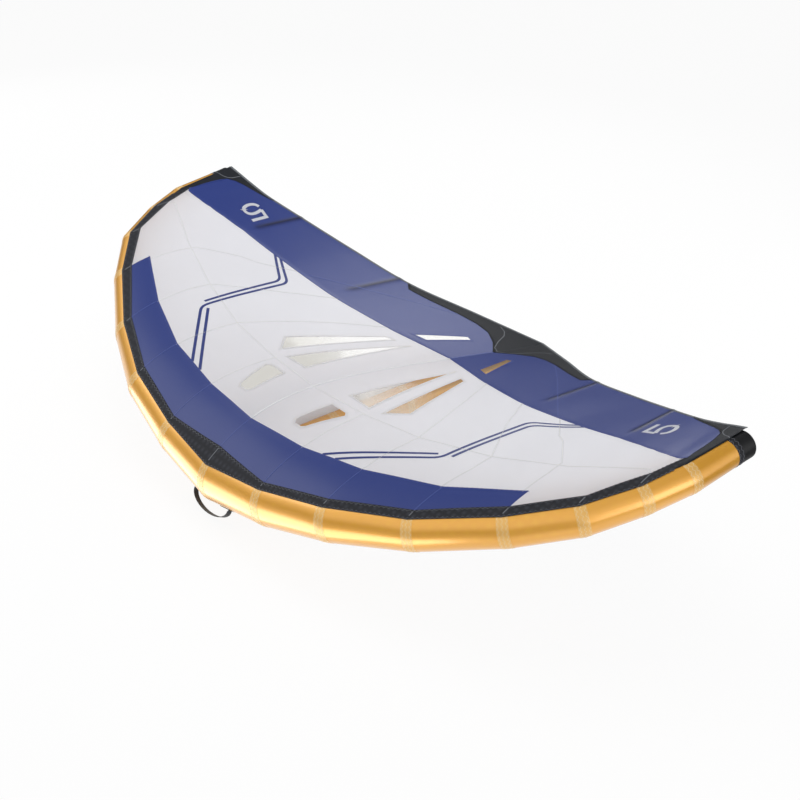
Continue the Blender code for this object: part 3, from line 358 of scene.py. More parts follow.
deep = add(tree, "Mix", {"Factor": cloud, 6: colour("#EDA21A"), 7: colour("#F8BA34")}, data_type="RGBA")
finish(shader, (deep.outputs[2], "#F2AC2C"), cross, cross, .12, .0003)

SEAMS = range(-TIP, TIP + 1)
edge_tube = Tube([tube_centre(k) for k in SEAMS], [tube_radius(k) - CASE_GAP for k in SEAMS])
AROUND, FINE_STEP = 72, .012


def circle(count):
    """The angles of steps once round, the last of which closes on the first."""
    return [2 * math.pi * j / count for j in range(count + 1)]


def tube_skin(name, tube, around=AROUND):
    """The tube's outer skin, with its rows closer together beside the seams than between them."""
    rows, marks, along = [], [], 0
    for length, reach in enumerate(tube.lengths):
        stops = [FINE_STEP * k for k in (0, 1, 2, 4, 7) if FINE_STEP * k < reach * .45]
        stops += [reach / 2] + [reach - stop for stop in reversed(stops)]
        for stop in stops if length == len(tube.runs) - 1 else stops[:-1]:
            rows.append([tube.point(length, stop / reach, turn) for turn in circle(around)[:-1]])
            marks.append([(along + stop, tube.radii[length] * turn) for turn in circle(around)])
        along += reach
    return outward(skin(name, rows, marks, round_columns=True, ends=True))


piece("leading_edge_gold_case", tube_skin("gold_case", edge_tube), gold_laminate,
      ["leading_edge_case"])


# Seam tapes and their stitching on the leading edge
# A strip of the same laminate, glued and sewn over each seam with rows of zigzag stitching in white
# polyester thread. The tape is paler, because the light goes through fewer layers of gold film.

def clouded(name, base, where, scale, tones, grain=0, strength=0, depth=0, detail=2.0, **gloss):
    """A material whose tone drifts over it at a scale, with a fine grain where one is given."""
    made, tree, shader, spot = new_surface(name, base, where, **gloss)
    cloud = add(tree, "TexNoise", {"Vector": spot, "Scale": scale})
    rough = add(tree, "TexNoise", {"Vector": spot, "Scale": grain, "Detail": detail}) if grain else None
    finish(shader, tones, cloud, rough, strength, depth)
    return made


def bonded(name, base):
    """Bonded polyester thread: matt, with the twist of its plies as a fine bump."""
    made, tree, shader, spot = new_surface(name, base, Roughness=.7)
    finish(shader, height=add(tree, "TexNoise", {"Vector": spot, "Scale": 1500.0}), strength=.3,
           depth=.0002)
    return made


pale_laminate = clouded("pale_seam_tape", "#E3AE55", "cloth", 40.0, ("#EBB251", "#F3C372"), 700.0, .2,
                        .0002, Roughness=.36, Metallic=.3, Coat_Weight=.6, Coat_Roughness=.25,
                        Coat_IOR=1.6)
white_thread = bonded("white_polyester_thread", "#E9E4D8")
grey_thread = bonded("grey_polyester_thread", "#6F7177")
blue_thread = bonded("blue_polyester_thread", "#5A66A4")
pale_thread = bonded("pale_gold_thread", "#F4E4BE")
black_thread = bonded("black_polyester_thread", "#1B1C1F")


def stitch_tree():
    """Lays a stitch at every pitch along a line, turned left and right by the slant in turn."""
    tree = bpy.data.node_groups.new("sewn_row", "GeometryNodeTree")
    sockets = (("Line", "INPUT", "NodeSocketGeometry"), ("Pitch", "INPUT", "NodeSocketFloat"),
               ("Stitch", "INPUT", "NodeSocketVector"), ("Slant", "INPUT", "NodeSocketFloat"),
               ("Thread", "INPUT", "NodeSocketMaterial"), ("Row", "OUTPUT", "NodeSocketGeometry"))
    for name, way, kind in sockets:
        tree.interface.new_socket(name, in_out=way, socket_type=kind)
    given = add(tree, "NodeGroupInput")
    line = add(tree, "GeometryNodeMeshToCurve", {"Mesh": given.outputs["Line"]})
    points = add(tree, "GeometryNodeResampleCurve", {"Curve": line, "Length": given.outputs["Pitch"]},
                 mode="LENGTH")
    along = add(tree, "GeometryNodeInputTangent")
    out = add(tree, "GeometryNodeInputNamedAttribute", {"Name": "out"}, data_type="FLOAT_VECTOR")
    aim = add(tree, "FunctionNodeAxesToRotation", {0: along, 1: out.outputs["Attribute"]},
              primary_axis="X", secondary_axis="Z")
    count = add(tree, "GeometryNodeInputIndex")
    odd = add(tree, "Math", {0: count, 1: 2.0}, operation="MODULO")
    way = add(tree, "Math", {0: odd, 1: 2.0, 2: -1.0}, operation="MULTIPLY_ADD")
    angle = add(tree, "Math", {0: way, 1: given.outputs["Slant"]}, operation="MULTIPLY")
    slant = add(tree, "FunctionNodeAxisAngleToRotation", {"Axis": (0, 0, 1), "Angle": angle})
    aimed = add(tree, "FunctionNodeRotateRotation", {0: aim, 1: slant},
                rotation_space="LOCAL")
    stitch = add(tree, "GeometryNodeMeshCube", {"Size": given.outputs["Stitch"]})
    laid = add(tree, "GeometryNodeInstanceOnPoints", {"Points": points, "Instance": stitch,
                                                      "Rotation": aimed})
    real = add(tree, "GeometryNodeRealizeInstances", {0: laid})
    dyed = add(tree, "GeometryNodeSetMaterial", {"Geometry": real,
                                                 "Material": given.outputs["Thread"]})
    add(tree, "NodeGroupOutput", {0: dyed})
    return tree


sewn_row = stitch_tree()
HALF_THREAD = .0003


def sew(name, lines, thread, slot, pitch=.0095, stitch=(.0124, .0009, 2 * HALF_THREAD), slant=42):
    """Sews rows along lines of point and outward normal: a zigzag, whose legs meet, if nothing else
    is said. stitch is the size of one leg, and slant its turn in degrees."""
    mesh = bpy.data.meshes.new(name)
    points = [point for line in lines for point, _ in line]
    starts = [sum(len(line) for line in lines[:k]) for k in range(len(lines))]
    links = [(s + i, s + i + 1) for s, line in zip(starts, lines) for i in range(len(line) - 1)]
    mesh.from_pydata(points, links, [])
    outs = mesh.attributes.new("out", "FLOAT_VECTOR", "POINT")
    outs.data.foreach_set("vector", [value for line in lines for _, out in line for value in out])
    made = placed(name, mesh)
    row = made.modifiers.new("sewn_row", "NODES")
    row.node_group = sewn_row
    values = {"Pitch": pitch, "Stitch": stitch, "Slant": math.radians(slant), "Thread": thread}
    for socket in sewn_row.interface.items_tree:
        if socket.item_type == "SOCKET" and socket.name in values:
            row[socket.identifier] = values[socket.name]
    sewn = evaluated(made)
    made.modifiers.remove(row)
    bpy.data.objects.remove(made)
    result = placed(name, sewn)
    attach(result, "root")


def evaluated(made):
    """An object's mesh with its modifiers applied."""
    bpy.context.view_layer.update()
    return bpy.data.meshes.new_from_object(made.evaluated_get(bpy.context.evaluated_depsgraph_get()))


def meshed(name, work):
    """A mesh of a finished bmesh."""
    made = bpy.data.meshes.new(name)
    work.to_mesh(made)
    work.free()
    return made


def joined(meshes):
    """Several meshes as one."""
    work = bmesh.new()
    for mesh in meshes:
        work.from_mesh(mesh)
    return meshed("joined", work)


TAPE_REACH, TAPE_LIFT, TAPE_THICK = .022, .0001, .0006
TAPE_SECTION = ((-1, 0), (-1, .8), (-.94, 1), (0, 1), (.94, 1), (1, .8), (1, 0), (0, -.3))


def tape_seams(word, tube, seams):
    """Lays a closed band of tape over each seam of a tube, and sews three rows of stitches on it."""
    turns, bands, lines = circle(AROUND), [], []
    for seam in seams:
        rows = [[tube.beside(seam, share * TAPE_REACH, turn, TAPE_LIFT + TAPE_THICK * height)[0]
                 for turn in turns[:-1]] for share, height in TAPE_SECTION]
        marks = [[(share * TAPE_REACH, turn * tube.radii[seam]) for turn in turns]
                 for share, _ in (*TAPE_SECTION, TAPE_SECTION[0])]
        bands.append(outward(skin("seam_tape", rows, marks, round_rows=True, round_columns=True)))
        lines += [[tube.beside(seam, share * TAPE_REACH, turn, TAPE_LIFT + TAPE_THICK * 1.15)
                   for turn in turns] for share in (-.7, 0, .7)]
    piece(word + "_seam_tapes", joined(bands), pale_laminate)
    sew(word + "_seam_stitches", lines, pale_thread, "gold_case")


tape_seams("leading_edge", edge_tube, range(1, len(edge_tube.runs)))


# Canopy cloth
# Ripstop polyester, cut into panels that are lapped and sewn. The front edge runs straight from one
# tube seam to the next, the trailing edge is one smooth curve, and the camber is deepest near the front.

EDGE = [on_wing(*row) for row in ((0, 1, 0), (.192, .905, .168), (.378, .813, .330), (.577, .750, .516),
                                  (.744, .693, .696), (.850, .653, .823), (.918, .637, .902),
                                  (.968, .625, .968), (1, .618, 1.007))]
CLOTH = .0008
BATTENS = {"inner": (2.15, .784), "outer": (4, .735)}


def join_point(station):
    seam = min(int(station), TIP - 1)
    return JOIN[seam].lerp(JOIN[seam + 1], station - seam)


def edge_point(station):
    """The trailing edge, one smooth curve through its stations."""
    seam = min(max(int(station), 0), TIP - 1)
    t = station - seam
    near, far, after = EDGE[seam], EDGE[seam + 1], EDGE[min(seam + 2, TIP)]
    leave = far - near if seam == 0 else (far - EDGE[seam - 1]) / 2
    arrive = (after - near) / 2
    return (near * (2 * t ** 3 - 3 * t ** 2 + 1) + leave * (t ** 3 - 2 * t ** 2 + t)
            + far * (3 * t ** 2 - 2 * t ** 3) + arrive * (t ** 3 - t ** 2))


def billow(station, share, x, y):
    """How far the wind and the battens lift the cloth off its drawn surface."""
    body = max(share * (1 - share), 0)
    lift = .010 * math.sin(math.pi * station) ** 2 * body * math.exp(-share * 2)
    lift += .0016 * (1 + noise.noise(Vector((x * 5, y * 2.2, 0)))) * min(station, 1) * min(body * 12, 1)
    for where, start in BATTENS.values():
        off = (station - where) * .3
        held = min(max((share - start + .03) / .05, 0), 1)
        lift += .0022 * held * math.exp(-(off / .013) ** 2)
    return lift


CAMBER_HEIGHT, CAMBER_NOSE, CAMBER_TAIL = .352, .179, 1.13
CAMBER_SPAN, CAMBER_FADE = 9.3, 2.85


def on_canopy(station, share):
    """Underside of the cloth on the right-hand side."""
    flat = join_point(station).lerp(edge_point(station), share)
    rise = CAMBER_HEIGHT * (1 - math.exp(-share / CAMBER_NOSE)) * max(1 - share, 0) ** CAMBER_TAIL
    flat.z += rise * (1 - station / CAMBER_SPAN) ** CAMBER_FADE + billow(station, share, flat.x, flat.y)
    return flat


def canopy_normal(station, share):
    step = .004
    along = on_canopy(min(station + step, TIP), share) - on_canopy(max(station - step, 0), share)
    return along.cross(on_canopy(station, share + step) - on_canopy(station, share - step)).normalized()


def above(station, share, lift, side=1):
    """A point off the cloth's underside and the normal there, on either half."""
    normal = canopy_normal(station, share)
    return mirrored(on_canopy(station, share) + normal * lift, side), mirrored(normal, side)


def chord(station):
    return (edge_point(station) - join_point(station)).length


STRIP_EDGE = ((0, .028), (1, .007), (2, .012), (3, .018), (4, .033), (5, .048), (6, .118), (6.7, .235))
BAND_EDGE = ((0, .102), (1, .111), (2, .1185), (3, .1255), (4, .1285))
MAIN_FADE = ((4, .1285), (6.7, .235))
REAR_EDGE = ((0, .673), (1, .687), (2, .702), (3, .693), (4, .660), (4.6, .618), (5.1, .568), (5.7, .465),
             (6.1, .372), (6.5, .262), (6.7, .235))
TAIL_EDGE = ((0, .820), (.25, .880), (.5, .925), (.75, .945), (1, .953), (1.5, .961), (1.88, .970),
             (2, 1), (4.8, 1), (5.5, .966), (6, .933), (6.4, .885), (6.7, .805), (8, .720))
FRONT, REAR = ((0, 0), (8, 0)), ((0, 1), (8, 1))
LAP, LAPPED = .006, CLOTH + .0001


def stations(first, last, extra=()):
    wanted = {first, last, *[k for k in extra if first < k < last]}
    return sorted(wanted | {i / 8 for i in range(8 * TIP + 1) if first < i / 8 < last})


def block(first, last, low, high, rows, laps=(0, 0), extra=()):
    """Columns of points of a panel. laps says whether its front and rear edges lie over a neighbour."""
    table = []
    for station in stations(first, last, [*extra, *[k for k, _ in (*low, *high)]]):
        a, b, lap = between(low, station), between(high, station), LAP / chord(station)
        near = min(lap, (b - a) / rows / 2)
        shares = [(a + (b - a) * j / rows, 0) for j in range(rows + 1)]
        if laps[0]:
            shares[0:1] = [(a - lap, 1), (a, 1), (a + near, 0)]
        if laps[1]:
            shares[-1:] = [(b - near, 0), (b, 1), (b + lap, 1)]
        table.append([above(station, share, LAPPED)[0] if over else on_canopy(station, share)
                      for share, over in shares])
    return table


def carrier(side, tables):
    """The welded grid of one cut panel, mirrored for the left."""
    work = bmesh.new()
    for table in tables:
        points = [[work.verts.new((p.x * side, p.y, p.z)) for p in column] for column in table]
        for near, far in zip(points, points[1:]):
            for j in range(len(near) - 1):
                face = (near[j], far[j], far[j + 1], near[j + 1])
                work.faces.new(face if side > 0 else face[::-1])
    bmesh.ops.remove_doubles(work, verts=work.verts, dist=.0002)
    return work


def cut_size(table):
    """Width and length of the flat cut: along the middles of its columns and up its longest column."""
    middles = [column[len(column) // 2] for column in table]
    reach = [sum((b - a).length for a, b in zip(column, column[1:])) for column in table]
    return sum((b - a).length for a, b in zip(middles, middles[1:])), max(reach)


def narrowest_box(work):
    """Width and length of the narrowest box round a panel, seen from above, with its slope taken in."""
    best = None
    for step in range(36):
        turn = math.pi * step / 36
        across, back = Vector((math.cos(turn), math.sin(turn))), Vector((-math.sin(turn), math.cos(turn)))
        spans = [max(v.co.xy.dot(way) for v in work.verts) - min(v.co.xy.dot(way) for v in work.verts)
                 for way in (across, back)]
        if best is None or spans[0] * spans[1] < best[0] * best[1]:
            best = spans
    areas = [face.calc_area() for face in work.faces]
    slope = sum(area * abs(face.normal.z) for area, face in zip(areas, work.faces)) / sum(areas)
    return best[0] / slope ** .5, best[1] / slope ** .5


def stretched(name, work, size, material, nodes, thick=CLOTH):
    """Finishes a panel: UVs from its plan and thickness upwards. size, its cut size, is not used."""
    layer = work.loops.layers.uv.new("cloth")
    for edge in work.edges:
        edge.smooth = not edge.is_boundary
    for face in work.faces:
        face.smooth = True
        for loop in face.loops:
            loop[layer].uv = loop.vert.co.xy
    area = sum(face.calc_area() for face in work.faces)
    made = piece(name, meshed(name, work), material, nodes)
    wall = made.modifiers.new("cloth_thickness", "SOLIDIFY")
    wall.thickness, wall.offset = thick, 1
    return made


def panel(name, side, tables, whole, material, node=None):
    """A panel of one half. whole is the table of points that its cut size is measured along."""
    word = dict(SIDES)[side]
    return stretched(f"{name}_{word}", carrier(side, tables), cut_size(whole), material,
                     [f"{node}_{word}"] if node else [])


def ripstop(name, base, line, shine=.5, rough=.38):
    """Ripstop polyester: a plain weave with a heavier yarn every few millimetres in a square grid. The
    grid is drawn 10 mm wide, twice the real one, so that it just shows; a coating gives it a soft gleam."""
    made, tree, shader, spot = new_surface(name, base, "cloth", Roughness=rough, Specular_IOR_Level=shine)
    grid = add(tree, "TexBrick", {"Vector": spot, "Color1": colour(base), "Color2": colour(base),
                                  "Mortar": colour(line), "Scale": 1.0, "Mortar Size": .0007,
                                  "Mortar Smooth": .6, "Brick Width": .010, "Row Height": .010}, offset=0)
    cloud = add(tree, "TexNoise", {"Vector": spot, "Scale": 3.0, "Detail": 4.0})
    wear_and_glare = add(tree, "MapRange", {0: cloud, 3: .955, 4: 1.03})
    tone = add(tree, "Mix", {"Factor": 1.0, 6: grid, 7: wear_and_glare}, data_type="RGBA", blend_type="MULTIPLY")
    feed(tone.outputs[2], shader, "Base Color")
    crimp = add(tree, "TexNoise", {"Vector": spot, "Scale": 12.0, "Detail": 6.0, "Roughness": .6})
    height = add(tree, "Math", {0: grid.outputs["Fac"], 1: .25, 2: crimp}, operation="MULTIPLY_ADD")
    finish(shader, height=height, strength=.25, depth=.0015)
    return made


# Half of the light on the white cloth goes through it, so that what lies under it shows faintly.
white_ripstop = ripstop("white_ripstop_polyester", "#E9E9ED", "#DCDDE3")
tree = white_ripstop.node_tree
through = add(tree, "BsdfTranslucent", {"Color": colour("#EDEDEF")})
mixed = add(tree, "MixShader", {0: .5, 1: tree.nodes["Principled BSDF"], 2: through})
feed(mixed, tree.nodes["Material Output"], "Surface")
blue_ripstop = ripstop("blue_ripstop_polyester", "#22357A", "#1E2F6E", rough=.32)
black_ripstop = ripstop("black_ripstop_polyester", "#1B1E24", "#14171B", .25, .5)

SIDES = ((-1, "left"), (1, "right"))


# Joining strip
# A strip of black woven polyester that is sewn to the top of the tube and carries the canopy. It laps
# on to the tube in front, and both of its edges have a row of grey zigzag stitching.

def woven(name, base, where, pitch, tones, strength, depth, **gloss):
    """Cloth of two sets of threads, 2 pi pitches apart, paler and higher where they cross."""
    made, tree, shader, spot = new_surface(name, base, where, **gloss)
    threads = [add(tree, "TexWave", {"Vector": spot, "Scale": 1 / pitch / 20}, bands_direction=way)
               for way in "XY"]
    weave = add(tree, "Math", {k: thread.outputs["Fac"] for k, thread in enumerate(threads)},
                operation="MULTIPLY")
    finish(shader, tones, weave, weave, strength, depth)
    return made


# Black woven polyester, matt with a fine rib. Its threads are drawn 25 mm apart, where real ones lie
# well under 1 mm apart, so that the weave still shows from where the photograph was taken.
strip_cloth = woven("black_woven_strip", "#1F2025", "Object", .004, ("#1F2025", "#31333A"), .35, .0006,
                    Roughness=.62, Specular_IOR_Level=.3)
STRIP_LAP = ((0, .013), (6, .013), (6.7, .004))
STRIP_GAP, THREAD_LIFT = CASE_GAP + .0002, .0004


def on_tube_ahead(station, reach, lift):
    """A point and normal on the tube, reach ahead of the joining line."""
    seam = min(int(station), TIP - 1)
    length, t = TIP + seam, station - seam
    turn = edge_tube.turn_of(length, t, join_point(station)) + reach / tube_radius(station)
    return edge_tube.point(length, t, turn, lift, False), edge_tube.out(length, turn)


def edge_line(table, side, first, last, back=0):
    """Points and normals along a lapped edge of a panel, back metres forward of it."""
    return [above(station, between(table, station) - back / chord(station), 2 * CLOTH + THREAD_LIFT, side)
            for station in stations(first, last, [k for k, _ in table])]


rows = []
for side, _ in SIDES:
    table = block(0, 6.7, FRONT, STRIP_EDGE, 3, (0, 1))
    lapped = []
    for station, column in zip(stations(0, 6.7, [k for k, _ in STRIP_EDGE]), table):
        lap = between(STRIP_LAP, station)
        lapped.append([on_tube_ahead(station, reach, STRIP_GAP)[0] for reach in (lap, lap / 2)] + column)
    panel("black_joining_strip", side, [lapped], lapped, strip_cloth, "joining_strip")
    line = [on_tube_ahead(k, between(STRIP_LAP, k) * .7, STRIP_GAP + CLOTH + HALF_THREAD)
            for k in stations(0, 6.7)]
    rows += [[(mirrored(p, side), mirrored(n, side)) for p, n in line],
             edge_line(STRIP_EDGE, side, 0, 6.6)]
sew("joining_strip_stitches", rows, grey_thread, "black_cloth")


# Windows
# Clear film panes let the rider see through the canopy. Each lies in a hole of its panel, under a
# narrow facing of the panel's own cloth that is sewn down with a row of zigzag stitches.

WINDOWS = {
    "a": ((.093, .161), (.102, .151), (.127, .151), (.136, .158), (.166, .241), (.155, .250), (.101, .249)),
    "b": ((.215, .312), (.259, .351), (.161, .587), (.141, .593)),
    "c": ((.095, .305), (.169, .303), (.095, .611)),
    "d": ((.111, .679), (.149, .667), (.093, .805), (.075, .802)),
}
# Urethane film: clear with soft waves, under a veil of painted glare and shade.
film, tree, shader, spot = new_surface("clear_window_film", "#D8D6D0", "cloth", Roughness=.07,
                                       Specular_IOR_Level=.5)
plan_of = add(tree, "SeparateXYZ", {0: spot})
# The painted glare is most opaque towards the front and on the left half, nearly clear at the front right.
glare_towards_front = add(tree, "MapRange", {0: plan_of.outputs["Y"], 1: -.05, 2: .30, 3: .42, 4: .10})
wear_and_glare = add(tree, "MapRange", {0: plan_of.outputs["X"], 1: -.10, 2: .10, 3: 1.7, 4: 1.0})
bare = add(tree, "MapRange", {0: plan_of.outputs["X"], 1: -.10, 2: .10, 3: 1.0, 4: .10})
clear = add(tree, "MapRange", {0: plan_of.outputs["Y"], 1: -.16, 2: -.09, 3: bare, 4: 1.0})
painted_glare = add(tree, "Math", {0: glare_towards_front, 1: clear}, operation="MULTIPLY")
painted_glare = add(tree, "Math", {0: painted_glare, 1: wear_and_glare}, operation="MULTIPLY")
feed(painted_glare, shader, "Alpha")
wave = add(tree, "TexNoise", {"Vector": spot, "Scale": 9.0, "Detail": 2.0})
finish(shader, height=wave, strength=.25, depth=.004)


def window_corners(letter, side):
    return [Vector((x * HALF_WIDTH * side, y * ROOT_LENGTH + WING_ZERO.y)) for x, y in WINDOWS[letter]]


def cut_out(work, corners):
    """Cuts a convex outline, seen from above, into a panel and returns the faces inside it."""
    low = Vector((min(p.x for p in corners), min(p.y for p in corners)))
    high = Vector((max(p.x for p in corners), max(p.y for p in corners)))
    for a, b in zip(corners, [*corners[1:], corners[0]]):
        near = [f for f in work.faces
                if all(min(v.co[k] for v in f.verts) < high[k] + .001
                       and max(v.co[k] for v in f.verts) > low[k] - .001 for k in (0, 1))]
        geometry = dict.fromkeys([*near, *[e for f in near for e in f.edges],
                                  *[v for f in near for v in f.verts]])
        across = Vector((b.y - a.y, a.x - b.x, 0)).normalized()
        bmesh.ops.bisect_plane(work, geom=list(geometry), dist=1e-6, plane_co=(a.x, a.y, 0),
                               plane_no=across)
    middle = sum((Vector(p) for p in corners), Vector((0, 0))) / len(corners)
    inside = []
    for face in work.faces:
        spot = face.calc_center_median().xy
        edges = zip(corners, [*corners[1:], corners[0]])
        if all((b - a).cross(spot - a) * (b - a).cross(middle - a) > 0 for a, b in edges):
            inside.append(face)
    return inside


FILM = .0005


def cut_panel(name, side, tables, whole, material, node, panes, shades=None):
    """A panel with its windows cut out, and their panes. shades darkens its cloth point by point."""
    work, word = carrier(side, tables), dict(SIDES)[side]
    for letter in panes:
        inside = cut_out(work, window_corners(letter, side))
        pane, known = bmesh.new(), {}
        for face in inside:
            for vert in face.verts:
                if vert not in known:
                    known[vert] = pane.verts.new(vert.co)
            pane.faces.new([known[vert] for vert in face.verts])
        pane.normal_update()
        bmesh.ops.delete(work, geom=inside, context="FACES")
        stretched(f"film_pane_{letter}_{word}", pane, narrowest_box(pane), film,
                  [f"window_{letter}_{word}"], FILM)
    if shades:
        layer = work.verts.layers.float.new("shade")
        for vert in work.verts:
            vert[layer] = shades(vert.co)
    stretched(f"{name}_{word}", work, cut_size(whole), material, [f"{node}_{word}"])


# White main panels and blue bands
# The blue band stiffens the front of the canopy, the white panels fill the middle, and a second blue
# band runs along the trailing edge. Each panel laps a few millimetres over the next and is sewn.

def place_of(x, y):
    """Station and share of the canopy at a plan point."""
    low, high = 0, TIP
    for _ in range(24):
        station = (low + high) / 2
        a, b = join_point(station), edge_point(station)
        if (b.x - a.x) * (y - a.y) - (b.y - a.y) * (abs(x) - a.x) < 0:
            low = station
        else:
            high = station
    run = (b - a).xy
    return station, run.dot(Vector((abs(x), y)) - a.xy) / run.length_squared


def batten_shade(point):
    """How dark the cloth is drawn over a batten: painted shade along its ridge, and partly its pocket
    showing through.
    """
    station, share = place_of(point.x, point.y)
    dark = 0
    for where, start in BATTENS.values():
        off = abs(point.x) - on_canopy(where, share).x
        width = .012 if share > start + .05 else .016
        begun = min(max((share - start + .02) / .03, 0), 1)
        dark += begun * math.exp(-(off / width) ** 2) * (.75 if share < start + .05 else 1)
    return min(dark, 1)


# Over each batten the blue mixes towards navy by the shade attribute: painted shade, partly the pocket
# showing through.
blue_over_battens = blue_ripstop.copy()
blue_over_battens.name = "blue_ripstop_over_battens"
tree = blue_over_battens.node_tree
shader = tree.nodes["Principled BSDF"]
shade = add(tree, "Attribute", attribute_name="shade")
finish(shader, (shader.inputs["Base Color"].links[0].from_socket, "#0D1438"), shade.outputs["Fac"])

BATTEN_STOPS = [where + side * step for where, _ in BATTENS.values() for side in (-1, 1)
                for step in (0, .02, .045, .08, .12)]
rows = []
for side, _ in SIDES:
    band = block(0, 4, STRIP_EDGE, BAND_EDGE, 6, (0, 1))
    panel("blue_front_band", side, [band], band, blue_ripstop, "front_band")
    main = [block(0, 4, BAND_EDGE, REAR_EDGE, 30), block(4, 6.7, MAIN_FADE, REAR_EDGE, 30),
            block(4, 6.7, STRIP_EDGE, MAIN_FADE, 6)]
    cut_panel("white_main_panel", side, main, main[0] + main[1], white_ripstop,
              "main_panel", "abc")
    rear = block(0, 6.7, REAR_EDGE, TAIL_EDGE, 16, (1, 0), BATTEN_STOPS)
    cut_panel("blue_rear_band", side, [rear], rear, blue_over_battens, "rear_band", "d",
              batten_shade)
    rows += [edge_line(BAND_EDGE, side, 0, 4, -.002), edge_line(REAR_EDGE, side, 0, 6.7, .002)]
sew("band_stitches", rows, blue_thread, "blue_cloth")


# Seams of the main panels
# The white cloth is cut into smaller panels, joined by felled seams: a narrow fold of double cloth
# with a row of stitches on each of its edges. The same seams cross the blue bands at the tube seams.

def top_of(point, lift=0):
    """A point and normal above the canopy's upper face, over a plan point of either half."""
    return above(*place_of(point.x, point.y), CLOTH + lift, 1 if point.x >= 0 else -1)


def closed_skin(name, rows, around=False):
    """A closed mesh through rings of points, with UVs from its plan."""
    marks = [[tuple(p.xy) for p in (*row, row[0])] for row in rows]
    if around:
        marks.append(marks[0])
    return outward(skin(name, rows, marks, around, True, not around))


def eased(points, reach, steps=5):
    """A line with its corners rounded off."""
    line = [points[0]]
    for a, b, c in zip(points, points[1:], points[2:]):
        near = min(reach, (a - b).length / 2, (c - b).length / 2)
        p, q = b + (a - b).normalized() * near, b + (c - b).normalized() * near
        line += [p * (1 - t) ** 2 + b * 2 * t * (1 - t) + q * t * t
                 for t in [i / steps for i in range(steps + 1)]]
    return [*line, points[-1]]


def ribbon(points, width, thick, lift=.0002, step=.016, around=False):
    """A flat tape on the canopy along plan points, its corners mitred. Returns its mesh and its spine."""
    ends = [*points, points[0]] if around else points
    spots, ways = [], []
    for k, (a, b) in enumerate(zip(ends, ends[1:])):
        count = max(round((b - a).length / step), 1)
        for i in range(count if around or k < len(ends) - 2 else count + 1):
            spots.append(a.lerp(b, i / count))
            ways.append(((b - a).normalized(), k, i == 0))
    rings, spine = [], []
    for spot, (way, k, corner) in zip(spots, ways):
        before = way
        if corner and (k or around):
            before = (ends[k] - ends[k - 1 if k else len(points) - 1]).normalized()
        mean = (way + before).normalized()
        across = Vector((-mean.y, mean.x)) * width / 2 / max(mean.dot(way), .4)
        (a, up_a), (b, up_b) = top_of(spot + across, lift), top_of(spot - across, lift)
        rings.append([a, b, b + up_b * thick, a + up_a * thick])
        spine.append(((a + b) / 2 + up_a * (thick + HALF_THREAD), up_a))
    return closed_skin("tape", rings, around), spine


def plan(station, share, side=1):
    point = on_canopy(station, share)
    return Vector((point.x * side, point.y))


seam_white = clouded("double_white_ripstop", "#CFD0D6", "cloth", 60.0, ("#C9CAD0", "#D8D9DE"),
                     Roughness=.5)
seam_blue = ripstop("double_blue_ripstop", "#384A8E", "#31427F", rough=.32)
seam_black = bonded("light_tape_on_black", "#6C6F75")

PANEL_SEAMS = (
    ((0, .265), (.95, .294), (1.95, .318), (2.95, .340), (4, .344), (4.83, .335), (5.84, .208),
     (5.95, .125)),
    ((1, .112), (.97, .255), (.95, .294)),
    ((1.99, .119), (1.97, .22), (1.95, .318), (1.71, .448), (1.41, .575), (1.07, .687)),
    ((2.98, .1265), (2.99, .25), (2.95, .340), (2.70, .44), (2.40, .55), (2.0, .70)),
    ((3.94, .13), (3.91, .278), (3.86, .368), (3.37, .54), (3.18, .578), (2.77, .690)))
REAR_SEAM = ((2.72, .698), (2.66, .708), (2.23, .805), (1.60, .902), (1.04, .951))
RUNNING = (.009, (.0062, .0011, .0007), 0)
tapes, spines = {"white": [], "blue": [], "black": []}, {"white": [], "blue": []}


def lay_seam(cloth, rows, width, thick=.0003, sewn=False, step=.016, side=1):
    """Lays a seam through places of the canopy, of station and share, and notes it for sewing."""
    mesh, spine = ribbon([plan(*row, side) for row in rows], width, thick, step=step)
    tapes[cloth].append(mesh)
    if sewn:
        spines[cloth].append(spine)


for side, _ in SIDES:
    for line in PANEL_SEAMS:
        lay_seam("white", line, .007, sewn=True, side=side)
    for k in (1, 2, 3):
        lay_seam("blue", ((k, between(STRIP_EDGE, k) + .004), (k, between(BAND_EDGE, k) - .001)), .005,
                 sewn=True, side=side)
    lay_seam("blue", REAR_SEAM, .005, side=side)
    for k in range(1, 7):
        lay_seam("black", ((k, .002), (k, between(STRIP_EDGE, k) - .001)), .004, step=.006, side=side)
lay_seam("white", ((0, .105), (0, .3), (0, .5), (0, .672)), .010, .0004, True)
lay_seam("blue", ((0, .675), (0, .819)), .007, .0004)
lay_seam("blue", ((0, .030), (0, .101)), .005, .0004)
lay_seam("black", ((0, .003), (0, .027)), .004, .0004, step=.006)
for cloth, name, material in (("white", "white_panel_seams", seam_white),
                              ("blue", "blue_panel_seams", seam_blue),
                              ("black", "strip_cross_seams", seam_black)):
    piece(name, joined(tapes[cloth]), material)
for cloth, thread in (("white", white_thread), ("blue", blue_thread)):
    sew(cloth + "_seam_stitches", spines[cloth], thread, cloth + "_cloth", *RUNNING)


# Window facings
# Strips of cloth folded round the edge of each film pane and sewn down all the way round.

